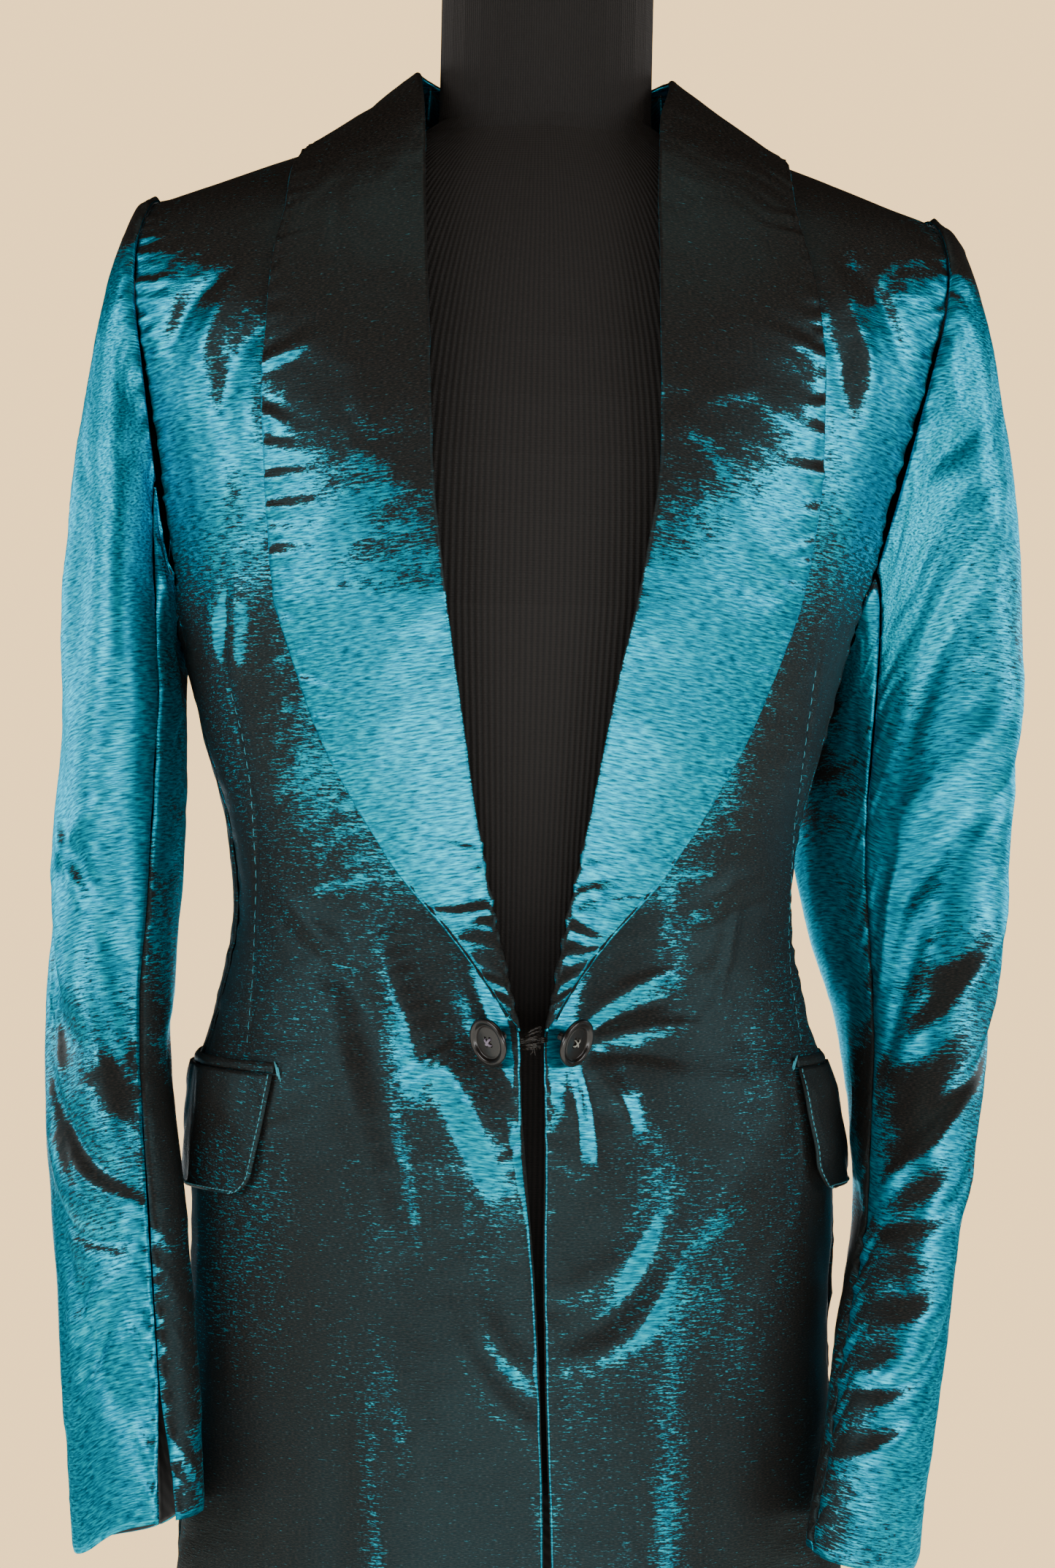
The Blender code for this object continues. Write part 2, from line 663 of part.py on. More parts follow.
def armhole_half(side, front):
    """Points from the shoulder's tip down one half of the armhole to the armpit, off the panels.

    Under the arm the sleeve's wall stands between the sleeve's inner face and the panel, so the
    points lie further out there by its thickness.
    """
    climbs = np.linspace(89.5, 0.5, 40)
    column = "front" if front else "back"
    across = read_table(ARMHOLE, ARMHOLE_COLUMNS, column, climbs)
    travel = climbs if front else 2 * YOKE_TURN - climbs
    off = CLOTH + ARMHOLE_GAP + CLOTH * ease_in((35 - climbs) / 30)
    upper = raised(yoke, across, travel, side, off)
    u = np.linspace(0.08, 0.5, 10)
    angle = FRONT_SEAM_DEG + (BACK_SEAM_DEG - FRONT_SEAM_DEG) * (u if front else 1 - u)
    dip = ARMPIT_DIP * np.sin(np.pi * u) ** 0.8
    off = np.full(len(u), 2 * CLOTH + ARMHOLE_GAP)
    lower = raised(girth, angle, ARMPIT_HEIGHT - dip, side, off)
    points = evenly_spaced(np.concatenate([upper, lower]), 61)
    for _ in range(ARMHOLE_SOFTENING):
        points[1:-1] = points[1:-1] / 2 + (points[:-2] + points[2:]) / 4
    return points


def sleeve_head(which, angle, share):
    """A point between the armhole, at share 0, and the upper arm's ring, at share 1."""
    side = SIDES[which]
    top_height = sleeve_rows(which)[-1][0]
    start = np.zeros((*angle.shape, 3))
    for front in (True, False):
        points = armhole_half(side, front)
        at = np.abs(angle) / 180.0 * (len(points) - 1)
        known = np.arange(len(points))
        found = np.stack([np.interp(at, known, points[:, axis]) for axis in range(3)], axis=-1)
        start = np.where(((angle >= 0) == front)[..., None], found, start)
    end = sleeve_ring(which, angle, np.full_like(angle, top_height))
    below = sleeve_ring(which, angle, np.full_like(angle, top_height - 0.01))
    outer = (1 + np.cos(np.radians(angle))) / 2
    leave = SLEEVE_UNDERARM + (SLEEVE_RISE[which] - SLEEVE_UNDERARM) * outer**1.3
    fan = np.sin(np.radians(angle)) * 0.25 * outer
    drop = SLEEVE_DROP * (1 - outer) ** 1.5
    away = stack(side * leave, -fan * leave, (outer - 0.75) * 0.3 * leave - drop)
    fall = np.linalg.norm(end - start, axis=-1, keepdims=True)
    arrive = (below - end) / 0.01 * fall * 1.05
    t = share[..., None]
    return (
        (2 * t**3 - 3 * t**2 + 1) * start
        + (t**3 - 2 * t**2 + t) * away
        + (3 * t**2 - 2 * t**3) * end
        + (t**3 - t**2) * arrive
    )


HEAD_SHARES = np.array([0, 0.07, 0.16, 0.27, 0.40, 0.55, 0.70, 0.85])
SLEEVE_STEPS = 12


def sleeve_piece(which, start_deg, end_deg):
    """A strip of a sleeve between two seams, from the armhole to the cuff."""
    rows = sleeve_rows(which)
    heights = np.linspace(rows[-1][0], rows[0][0], SLEEVE_STEPS)

    def surface(u, v):
        row = np.rint((1 - v) * (len(HEAD_SHARES) + len(heights) - 1)).astype(int)
        head = row < len(HEAD_SHARES)
        height = heights[np.clip(row - len(HEAD_SHARES), 0, len(heights) - 1)]
        opened = ease_in((VENT_HEIGHT - height) / (VENT_HEIGHT - rows[0][0])) * ~head
        near = np.clip(1 - (row - len(HEAD_SHARES)) / 4, 0, 1)
        gap = SLEEVE_SEAM_DEG + SLEEVE_HEAD_SEAM_DEG * near
        start = start_deg(opened) + gap
        end = end_deg(opened) - gap
        angle = start + (end - start) * u
        angle = np.where(angle > 180, angle - 360, angle)
        share = HEAD_SHARES[np.clip(row, 0, len(HEAD_SHARES) - 1)]
        upper = sleeve_head(which, angle, share)
        lower = sleeve_ring(which, angle, height)
        return np.where(head[..., None], upper, lower)

    return surface


def sleeves(material):
    for which, side in SIDES.items():
        seam = SLEEVE_FRONT_SEAM_DEG[which]
        vent = VENT_OPEN_DEG[which]
        top = sleeve_piece(
            which,
            lambda opened: SLEEVE_BACK_SEAM_DEG,
            lambda opened, seam=seam, vent=vent: seam - vent * 0.4 * opened,
        )
        under = sleeve_piece(
            which,
            lambda opened, seam=seam, vent=vent: seam + vent * 0.6 * opened,
            lambda opened: 360 + SLEEVE_BACK_SEAM_DEG,
        )
        rows = len(HEAD_SHARES) + SLEEVE_STEPS - 1
        for name, surface, columns in (("top_sleeve", top, 17), ("under_sleeve", under, 9)):
            cloth(f"{name}_{which}", surface, columns, rows, -side, material)


def flap_angles(which, depth):
    """Front and back ends of a pocket flap, in degrees, at a share of its depth."""
    side = SIDES[which]
    height = FLAP_TOP[which] - FLAP_DEPTH * depth
    half = read_table(BODY, BODY_COLUMNS, "half_width", height)
    shift = read_table(BODY, BODY_COLUMNS, "shift", height)
    top = angle_at(FLAP_FRONT_HALF + side * (FLAP_MIDDLE - shift), half)
    into = np.clip((depth - (1 - FLAP_CORNER)) / FLAP_CORNER, 0, 1)
    round_off = 5.0 * (1 - np.sqrt(1 - into**2))
    return top + FLAP_SLANT_DEG * depth + round_off, FLAP_BACK_DEG - round_off


def pocket_flap(which):
    side = SIDES[which]

    def surface(u, v):
        depth = 1 - v
        front, back = flap_angles(which, depth)
        height = FLAP_TOP[which] - FLAP_DEPTH * depth
        hang = CLOTH + LAY_GAP + FLAP_HANG[which] * depth**1.2
        return raised(girth, front + (back - front) * u, height, side, hang)

    return surface


def pocket_welt(which):
    side = SIDES[which]

    def surface(u, v):
        front, back = flap_angles(which, np.zeros_like(u))
        height = FLAP_TOP[which] + 0.0006 + WELT_DEPTH * v
        return raised(girth, front + (back - front) * u, height, side, np.full_like(u, CLOTH + 0.0005))

    return surface


def coat_panels(material):
    rows = len(BODY_LEVELS) + len(CLIMBS) - 2
    for which, side in SIDES.items():
        cloth(f"front_{which}", front_panel(side), 13, rows, side, material)
        cloth(f"side_{which}", side_panel(side), 4, len(BODY_LEVELS) - 1, side, material)
        cloth(f"back_{which}", back_panel(side), 9, rows, side, material)
        cloth(f"collar_{which}", collar(side), 6, 34, side, material, COLLAR_THICKNESS)
        cloth(f"pocket_flap_{which}", pocket_flap(which), 9, 6, side, material)
        cloth(f"pocket_welt_{which}", pocket_welt(which), 9, 2, side, material, WELT_THICKNESS)
    cloth("collar_stand", collar_stand(1.0), 20, 2, 1.0, material, CLOTH)


def turned(name, profile, steps, material):
    """A turned solid: a profile of (radius, height) pairs, run down its outer side, about +Z."""
    mesh = bpy.data.meshes.new(name)
    shape = bmesh.new()
    points = [shape.verts.new((radius, 0.0, height)) for radius, height in profile]
    for first, second in zip(points, points[1:]):
        shape.edges.new((first, second))
    shape.to_mesh(mesh)
    shape.free()
    mesh.materials.append(material)
    made = bpy.data.objects.new(name, mesh)
    bpy.data.collections["day_coat"].objects.link(made)
    screw = made.modifiers.new("turn", "SCREW")
    screw.steps = steps
    screw.render_steps = steps
    screw.use_merge_vertices = True
    screw.merge_threshold = 1e-5
    return made


def button_profile():
    """A dished button with a raised rim, and the thread shank behind it, from front to back."""
    rim = BUTTON_RADIUS
    thick = BUTTON_THICKNESS
    return (
        (0.0, thick * 0.55),
        (rim * 0.70, thick * 0.50),
        (rim * 0.80, thick * 0.95),
        (rim * 0.90, thick),
        (rim, thick * 0.60),
        (rim * 0.97, thick * 0.15),
        (rim * 0.80, 0.0),
        (SHANK_RADIUS, 0.0),
        (SHANK_RADIUS, -SHANK_LENGTH),
        (0.0, -SHANK_LENGTH),
    )


def edge_middle(height):
    return float(read_table(OPENING, OPENING_COLUMNS, "middle", height))


def link_buttons(material, thread):
    shift = float(read_table(BODY, BODY_COLUMNS, "shift", LINK_HEIGHT))
    for which, side in SIDES.items():
        across = np.array([BUTTON_OFF_MIDDLE + side * (edge_middle(LINK_HEIGHT) - shift)])
        travel = np.array([LINK_HEIGHT + BUTTON_RISE - ARMPIT_HEIGHT])
        off = CLOTH + SEAM_GAP - SHANK_SINK[which]
        foot = raised(skin, across, travel, side, np.array([off]))[0]
        outward, downward = math.radians(BUTTON_OUT_DEG), math.radians(BUTTON_DOWN_DEG)
        level = math.cos(downward)
        facing = np.array(
            [side * math.sin(outward) * level, -math.cos(outward) * level, -math.sin(downward)]
        )
        button = turned(f"link_button_{which}", button_profile(), 20, material)
        upright = np.array([0.0, 0.0, 1.0])
        sideways = np.cross(upright, facing)
        sideways /= np.linalg.norm(sideways)
        over = np.cross(facing, sideways)
        seat = foot + facing * (SHANK_LENGTH + SHANK_RADIUS * math.sin(outward))
        turn = Matrix((sideways, over, facing)).transposed()
        button.matrix_world = Matrix.Translation(seat) @ turn.to_4x4()
    middle = edge_middle(LINK_HEIGHT)
    reach = float(read_table(OPENING, OPENING_COLUMNS, "half_gap", LINK_HEIGHT)) - SEAM_GAP
    across = np.array([reach])
    travel = np.array([LINK_HEIGHT - ARMPIT_HEIGHT])
    depth = float(skin(across, travel, 1.0)[0][1]) - CLOTH / 2
    bpy.ops.mesh.primitive_uv_sphere_add(segments=14, ring_count=8, radius=1.0)
    link = bpy.context.object
    link.name = "button_link"
    for vertex in link.data.vertices:
        vertex.co.x *= reach
        vertex.co.y *= LINK_DEPTH
        vertex.co.z *= LINK_TALL / 2
    link.location = (middle, depth, LINK_HEIGHT)
    link.data.materials.append(thread)
    link.data.shade_smooth()
    for home in list(link.users_collection):
        home.objects.unlink(link)
    bpy.data.collections["day_coat"].objects.link(link)


def inside_form(x, y, z):
    """Whether points lie inside the dress form's body: the worn shape drawn in by the ease."""
    low = np.minimum(z, ARMPIT_HEIGHT)
    half = read_table(BODY, BODY_COLUMNS, "half_width", low) - FORM_EASE
    front = read_table(BODY, BODY_COLUMNS, "front", low) - FORM_FRONT_EASE
    back = read_table(BODY, BODY_COLUMNS, "back", low) - FORM_EASE
    slim = ease_in((0.96 - z) / 0.16) * 0.012
    half = half - slim
    deep = np.where(y < 0, front, back) - slim
    lower = (np.abs(x) / half) ** SQUARENESS + (np.abs(y) / deep) ** SQUARENESS < 1
    across = np.abs(x)
    ease = FORM_SHOULDER_EASE + (FORM_NECK_EASE - FORM_SHOULDER_EASE) * ease_in((0.13 - across) / 0.06)
    line = shoulder_line(across) - ease - 0.5 * np.maximum(across - 0.180, 0) ** 2 / 0.02
    risen = np.clip((z - ARMPIT_HEIGHT) / (line - ARMPIT_HEIGHT), 0, 1)
    climb = np.where(y < 0, 0.0, 2 * YOKE_TURN)
    power = roundness(across, climb)
    left = np.clip(1 - risen**power, 0, 1) ** (1 / power)
    wide = half + (0.2080 - half) * risen**0.8
    yoke_deep = np.where(y < 0, YOKE_FRONT - FORM_FRONT_EASE, YOKE_BACK - FORM_EASE)
    grown = ease_in(risen / 0.35)
    edge = (deep + (yoke_deep - deep) * grown) * curve_depth(across / wide) * left
    upper = (np.abs(y) < edge) & (risen < 1) & (across < wide)
    return np.where(z > ARMPIT_HEIGHT, upper, lower)


def form_radius(turn, z):
    """The dress form's radius: body and neck, run into each other by a soft maximum."""
    low = np.zeros_like(turn)
    high = np.full_like(turn, 0.3)
    for _ in range(36):
        middle = (low + high) / 2
        inside = inside_form(middle * np.sin(turn), -middle * np.cos(turn), z)
        low = np.where(inside, middle, low)
        high = np.where(inside, high, middle)
    neck = FORM_NECK_HALF * FORM_NECK_DEEP / np.hypot(
        FORM_NECK_DEEP * np.sin(turn), FORM_NECK_HALF * np.cos(turn)
    )
    return (low**FORM_BLEND + neck**FORM_BLEND) ** (1 / FORM_BLEND)


def dress_form(material):
    """Rings up the body and neck, closed by flat faces at both ends."""
    heights = np.concatenate(
        [
            np.linspace(FORM_BOTTOM, ARMPIT_HEIGHT, 12),
            np.linspace(1.240, 1.385, 6),
            np.linspace(1.395, 1.495, 15),
            np.linspace(1.510, FORM_TOP, 4),
        ]
    )
    around = 32
    turn = np.radians(np.arange(around) * 360 / around)
    mesh = bpy.data.meshes.new("form_torso")
    shape = bmesh.new()
    rings = []
    for z in heights:
        radius = form_radius(turn, np.full(around, z))
        shift = float(body_shift(z))
        ring = [
            shape.verts.new((r * math.sin(t) + shift, -r * math.cos(t), z)) for r, t in zip(radius, turn)
        ]
        rings.append(ring)
    for lower, upper in zip(rings, rings[1:]):
        for k in range(around):
            after = (k + 1) % around
            shape.faces.new((lower[k], lower[after], upper[after], upper[k]))
    shape.faces.new(reversed(rings[0]))
    shape.faces.new(rings[-1])
    shape.to_mesh(mesh)
    shape.free()
    mesh.shade_smooth()
    mesh.set_sharp_from_angle(angle=math.radians(50))
    mesh.materials.append(material)
    made = bpy.data.objects.new("form_torso", mesh)
    bpy.data.collections["day_coat"].objects.link(made)


def stand(metal, cap_material):
    """The neck's cap, the pole with the ring that carries the form, and the round foot."""
    edge = 0.002
    top = FORM_TOP + SEAM_GAP + CAP_THICKNESS
    cap = turned(
        "neck_cap",
        (
            (0.0, top + 0.003),
            (CAP_RADIUS * 0.6, top + 0.002),
            (CAP_RADIUS - edge, top),
            (CAP_RADIUS, top - edge),
            (CAP_RADIUS, FORM_TOP + SEAM_GAP),
            (0.0, FORM_TOP + SEAM_GAP),
        ),
        32,
        cap_material,
    )
    cap.location.x = float(body_shift(FORM_TOP))
    ring_top = FORM_BOTTOM - SEAM_GAP
    ring_low = ring_top - COLLAR_RING_HEIGHT
    turned(
        "stand_pole",
        (
            (0.0, ring_top),
            (COLLAR_RING_RADIUS - edge, ring_top),
            (COLLAR_RING_RADIUS, ring_top - edge),
            (COLLAR_RING_RADIUS, ring_low + edge),
            (POLE_RADIUS + 0.004, ring_low),
            (POLE_RADIUS, ring_low - 0.004),
            (POLE_RADIUS, BASE_THICKNESS + SEAM_GAP),
            (0.0, BASE_THICKNESS + SEAM_GAP),
        ),
        24,
        metal,
    )
    turned(
        "stand_base",
        (
            (0.0, BASE_THICKNESS),
            (BASE_RADIUS - 0.012, BASE_THICKNESS),
            (BASE_RADIUS - edge, BASE_THICKNESS - edge),
            (BASE_RADIUS, BASE_THICKNESS - 2 * edge),
            (BASE_RADIUS, edge / 2),
            (BASE_RADIUS - edge / 2, 0.0),
            (0.0, 0.0),
        ),
        48,
        metal,
    )


def build():
    clear_scene()
    home = bpy.data.collections.new("day_coat")
    bpy.context.scene.collection.children.link(home)
    taffeta = make_material("shot_taffeta", (0.010, 0.130, 0.160), 0.40, 0.6)
    horn = make_material("black_horn", (0.020, 0.017, 0.016), 0.25)
    thread = make_material("black_thread", (0.015, 0.015, 0.017), 0.60)
    jersey = make_material("black_jersey", (0.018, 0.016, 0.015), 0.90)
    lacquer = make_material("black_lacquer", (0.012, 0.012, 0.013), 0.25)
    steel = make_material("brushed_steel", (0.500, 0.500, 0.510), 0.35, 1.0)
    coat_panels(taffeta)
    sleeves(taffeta)
    link_buttons(horn, thread)
    dress_form(jersey)
    stand(steel, lacquer)


build()
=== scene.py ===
# %% [markdown]
# # A day coat of shot taffeta, worn by a dress form
#
# The coat is a long tailored one: a shawl collar, flap pockets, two-piece sleeves with a slit at the
# cuff, and fronts that meet edge to edge and are linked by two buttons on a cord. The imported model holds
# its pieces at their real size as plain walls. This lesson gives each of them its real surface: the
# puckers along hand-stitched edges, the drag of the link, the creases of the sleeves, and the crisp
# metallic cloth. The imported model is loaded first, and every new piece is worked out in its frame.

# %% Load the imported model
import math

import bpy
import numpy as np
from mathutils import Matrix, Vector


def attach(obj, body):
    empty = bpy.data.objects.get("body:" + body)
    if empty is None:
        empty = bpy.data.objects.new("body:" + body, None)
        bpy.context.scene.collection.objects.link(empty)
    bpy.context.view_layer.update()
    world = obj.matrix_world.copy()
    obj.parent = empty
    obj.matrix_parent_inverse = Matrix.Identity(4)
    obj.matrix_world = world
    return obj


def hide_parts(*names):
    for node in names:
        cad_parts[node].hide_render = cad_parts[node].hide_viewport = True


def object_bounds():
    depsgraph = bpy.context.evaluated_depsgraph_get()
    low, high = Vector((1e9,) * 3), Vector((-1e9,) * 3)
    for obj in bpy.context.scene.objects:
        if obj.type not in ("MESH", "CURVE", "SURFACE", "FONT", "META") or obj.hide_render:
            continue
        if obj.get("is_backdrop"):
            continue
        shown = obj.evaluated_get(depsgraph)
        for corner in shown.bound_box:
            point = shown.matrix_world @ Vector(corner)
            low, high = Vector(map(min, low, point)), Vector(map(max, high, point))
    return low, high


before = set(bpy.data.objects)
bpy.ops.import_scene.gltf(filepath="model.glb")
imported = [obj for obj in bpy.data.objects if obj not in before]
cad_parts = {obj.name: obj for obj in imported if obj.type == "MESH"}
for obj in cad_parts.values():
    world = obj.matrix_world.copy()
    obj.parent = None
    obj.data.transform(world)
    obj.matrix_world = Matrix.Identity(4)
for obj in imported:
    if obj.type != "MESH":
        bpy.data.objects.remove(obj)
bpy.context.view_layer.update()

# %% [markdown]
# ## The camera
#
# The photograph was taken at chest height with the coat filling the frame, from about two metres and
# very slightly from the side. The camera has no shift: it is only turned and rolled a little, so that
# the other views can take it over.

# %% Place the camera
FRAME_HEIGHT = 0.7987  # metres of coat that the picture holds from top to bottom
CAMERA_DISTANCE = 2.0
CAMERA_HEIGHT = 1.139
CAMERA_TURN_DEG = 3.0
CAMERA_ROLL_DEG = 1.2
SENSOR_MM = 36.0


def place_camera():
    """The viewing direction is turned from +Y towards +X, and the picture rolled about it."""
    turn, roll = math.radians(CAMERA_TURN_DEG), math.radians(CAMERA_ROLL_DEG)
    forward = Vector((math.sin(turn), math.cos(turn), 0.0))
    level = Vector((math.cos(turn), -math.sin(turn), 0.0))
    upright = Vector((0.0, 0.0, 1.0))
    right = level * math.cos(roll) + upright * math.sin(roll)
    up = upright * math.cos(roll) - level * math.sin(roll)
    data = bpy.data.cameras.new("camera")
    data.sensor_fit = "VERTICAL"
    data.sensor_height = SENSOR_MM
    data.lens = SENSOR_MM * CAMERA_DISTANCE / FRAME_HEIGHT
    camera = bpy.data.objects.new("camera", data)
    bpy.context.scene.collection.objects.link(camera)
    axes = Matrix((right, up, -forward)).transposed().to_4x4()
    camera.matrix_world = Matrix.Translation(Vector((0, 0, CAMERA_HEIGHT)) - forward * CAMERA_DISTANCE) @ axes
    bpy.context.scene.camera = camera
    return camera


camera = place_camera()
print("lens", round(camera.data.lens, 1), "mm")

# %% [markdown]
# ## Helpers for colour, nodes and meshes
#
# Colours are written as sRGB hex and turned to linear light by one function, and one function adds any
# shader node with its settings and links. A sheet of cloth is a grid of points: whole arrays go into the
# mesh at once, with a UV map in metres along the cloth, so that a weave or a rib has its size in metres
# wherever it is read.

# %% Colour and node helpers


def linear(hex_colour):
    """Each sRGB channel c becomes c / 12.92 below 0.04045, and ((c + 0.055) / 1.055) ** 2.4 above."""
    channels = np.array([int(hex_colour[k : k + 2], 16) for k in (1, 3, 5)]) / 255
    bright = ((channels + 0.055) / 1.055) ** 2.4
    return (*np.where(channels <= 0.04045, channels / 12.92, bright).tolist(), 1.0)


def fill(tree, node, inputs):
    """Sets a node's inputs to values, or links them from sockets. A node stands for its first output."""
    for name, value in inputs.items():
        if isinstance(value, bpy.types.Node):
            value = value.outputs[0]
        if isinstance(value, bpy.types.NodeSocket):
            tree.links.new(value, node.inputs[name])
        else:
            node.inputs[name].default_value = value


def add_node(tree, kind, inputs=None, stops=(), **settings):
    """Adds a shader node with its settings, its inputs, and a ramp's stops as (position, hex colour)."""
    node = tree.nodes.new("ShaderNode" + kind)
    for name, value in settings.items():
        setattr(node, name, value)
    fill(tree, node, inputs or {})
    if stops:
        elements = node.color_ramp.elements
        while len(elements) < len(stops):
            elements.new(0.5)
        for element, (place, colour) in zip(elements, stops):
            element.position = place
            element.color = linear(colour)
    return node


def new_material(name, colour, roughness, **inputs):
    """A material with one Principled shader, and what its sockets are set to."""
    material = bpy.data.materials.new(name)
    material.use_nodes = True
    tree = material.node_tree
    shader = tree.nodes["Principled BSDF"]
    fill(tree, shader, {"Base Color": linear(colour), "Roughness": roughness})
    fill(tree, shader, {socket.replace("_", " "): value for socket, value in inputs.items()})
    return material, tree, shader


print("sRGB grey #808080 is", round(linear("#808080")[0], 3), "in linear light")

# %% Mesh helpers


def smooth_step(share):
    """0 below 0, 1 above 1, and 3s^2 - 2s^3 between."""
    share = np.clip(share, 0.0, 1.0)
    return share * share * (3 - 2 * share)


def bell(distance, width):
    """exp(-(d / w)^2): 1 at the middle and 0.37 at one width from it."""
    return np.exp(-((distance / width) ** 2))


def stack(*parts):
    """Points whose coordinates are the given arrays, broadcast to one shape."""
    return np.stack(np.broadcast_arrays(*parts), axis=-1).astype(float)


def unit(vectors):
    """Each vector divided by its own length."""
    return vectors / np.maximum(np.linalg.norm(vectors, axis=-1, keepdims=True), 1e-12)


def normals_of(points, side, around=False):
    """Unit normals of a grid: the cross product of its steps along the columns and the rows."""
    if around:
        wrapped = np.concatenate([points[:, -1:], points, points[:, :1]], axis=1)
        along = np.gradient(wrapped, axis=1)[:, 1:-1]
    else:
        along = np.gradient(points, axis=1)
    return unit(np.cross(along, np.gradient(points, axis=0))) * side


def run(points, axis):
    """Metres from the first point along one axis of an array of points."""
    far = np.linalg.norm(np.diff(points, axis=axis), axis=-1).cumsum(axis=axis)
    first = np.zeros([1 if k == axis else size for k, size in enumerate(far.shape)])
    return np.concatenate([first, far], axis=axis)


def lengths(points):
    """Metres along the rows and along the columns of a grid, from its first column and row."""
    return run(points, 1), run(points, 0)


def read_points(at, known, points):
    """Each coordinate of a line of points, read off at places between the known ones."""
    return stack(*[np.interp(at, known, points[:, k]) for k in range(3)])


def new_piece(name, points, faces, materials, uv=None, node=None):
    """A mesh at the origin that rides on the part and the node it stands for."""
    mesh = bpy.data.meshes.new(name)
    mesh.from_pydata(points.reshape(-1, 3), [], faces)
    if uv is not None:
        layer = mesh.uv_layers.new(name="UVMap")
        corner = np.zeros(len(mesh.loops), np.int32)
        mesh.loops.foreach_get("vertex_index", corner)
        layer.data.foreach_set("uv", uv.reshape(-1, 2)[corner].astype(np.float32).ravel())
    mesh.shade_smooth()
    for material in materials:
        mesh.materials.append(material)
    piece = bpy.data.objects.new(name, mesh)
    bpy.context.scene.collection.objects.link(piece)
    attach(piece, "root")
    if node:
        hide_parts(node)
    return piece


def grid_faces(rows, columns, flip=False, around=False):
    """Four corners of each cell of a grid of points, which may be closed around its columns."""
    first = np.arange(rows * columns).reshape(rows, columns)
    after = np.roll(first, -1, axis=1)
    last = columns if around else columns - 1
    quads = np.stack([first[:-1, :last], after[:-1, :last], after[1:, :last], first[1:, :last]], axis=-1)
    quads = quads.reshape(-1, 4)
    return (quads[:, ::-1] if flip else quads).tolist()


# %% [markdown]
# ## The worn shape
#
# A pattern cutter drapes panels on a figure. Here the figure is a function: rings round the body below
# the armpit, squarer than an ellipse, and arcs over the shoulder above it. Every panel is a patch of that
# one shape, so neighbours always meet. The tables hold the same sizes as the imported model.

# %% Sizes of the worn shape
# metres, unless a name ends in DEG
CLOTH = 0.0018
SEAM_GAP = 0.0003
LAY_GAP = 0.0012  # air under a piece that lies on another
HEM_HEIGHT = 0.520
WAIST_HEIGHT = 1.075
ARMPIT_HEIGHT = 1.225
LINK_HEIGHT = 1.0165
SHOULDER_HEIGHT = 1.4240
SHOULDER_HALF = 0.1985
SHOULDER_SLOPE = 0.372
YOKE_HALF_TOP = 0.236
NECK_HALF = 0.064
NECK_DROP_DEG = 27.0
YOKE_TURN = 90.0  # degrees of climb from the armpit's level to the shoulder's ridge
SQUARENESS = 2.25  # the superellipse's power: 2 is an ellipse
FRONT_SEAM_DEG = 82.0
BACK_SEAM_DEG = 112.0
CENTRE_BACK_DEG = 180.0
BODY_COLUMNS = ("height", "half_width", "front", "back", "shift")
BODY = (
    (0.520, 0.1820, 0.1290, 0.1400, -0.0020),
    (0.640, 0.1735, 0.1250, 0.1350, -0.0020),
    (0.740, 0.1665, 0.1215, 0.1305, -0.0022),
    (0.860, 0.1605, 0.1185, 0.1260, -0.0035),
    (0.950, 0.1610, 0.1170, 0.1215, -0.0040),
    (0.985, 0.1598, 0.1150, 0.1150, -0.0045),
    (1.020, 0.1488, 0.1100, 0.1035, -0.0055),
    (1.075, 0.1395, 0.1060, 0.0905, -0.0060),
    (1.110, 0.1420, 0.1095, 0.0905, -0.0075),
    (1.160, 0.1550, 0.1180, 0.0975, -0.0085),
    (1.225, 0.1712, 0.1265, 0.1090, -0.0078),
)
LOW = dict(zip(BODY_COLUMNS, BODY[-1]))
YOKE_FRONT = 0.1285
YOKE_BACK = 0.1150
YOKE_SHIFT = 0.0020
OPENING_COLUMNS = ("height", "half_gap", "middle")
OPENING = (
    (0.520, 0.0024, 0.0160),
    (0.764, 0.0017, 0.0108),
    (0.839, 0.0012, 0.0074),
    (0.895, 0.0019, 0.0045),
    (0.950, 0.0041, 0.0015),
    (0.989, 0.0053, -0.0009),
    (1.014, 0.0053, -0.0018),
    (1.036, 0.0097, -0.0021),
    (1.078, 0.0191, -0.0026),
    (1.130, 0.0297, -0.0030),
    (1.180, 0.0380, -0.0028),
    (1.250, 0.0505, -0.0010),
    (1.300, 0.0563, 0.0002),
    (1.375, 0.0575, -0.0008),
    (1.455, 0.0592, -0.0012),
    (1.476, 0.0640, 0.0020),
)
ARMHOLE_COLUMNS = ("climb", "front", "back")  # degrees, then metres from the middle
ARMHOLE = (
    (0.0, 0.1697, 0.1601),
    (7.0, 0.1772, 0.1688),
    (13.0, 0.1820, 0.1735),
    (21.0, 0.1880, 0.1785),
    (34.0, 0.1955, 0.1850),
    (44.0, 0.1998, 0.1895),
    (55.0, 0.2010, 0.1925),
    (65.0, 0.1998, 0.1940),
    (75.0, 0.1970, 0.1940),
    (90.0, 0.1930, 0.1930),
)
ARMPIT_DIP = 0.020
# columns: angle and width in degrees, stand in metres
SKIRT_FOLDS = (
    (22.0, 13.0, 0.0030),
    (48.0, 12.0, -0.0040),
    (72.0, 9.0, 0.0060),
    (92.0, 8.0, -0.0055),
    (112.0, 9.0, 0.0070),
    (134.0, 9.0, -0.0060),
    (156.0, 10.0, 0.0070),
)
FOLD_START_HEIGHT = 0.960
# columns: across_top, across_low, width, stand
DRAG_FOLDS = ((0.166, 0.152, 0.008, 0.0030), (0.184, 0.164, 0.007, -0.0022))
LINK_RIDGE = 0.0120
LINK_RIDGE_WIDTH = 0.022
LINK_RIDGE_HEIGHT = 0.050
SIDES = {"left": 1.0, "right": -1.0}
print(f"from the hem to the shoulder's tip {SHOULDER_HEIGHT - HEM_HEIGHT:.3f} m")

# %% Reading a table


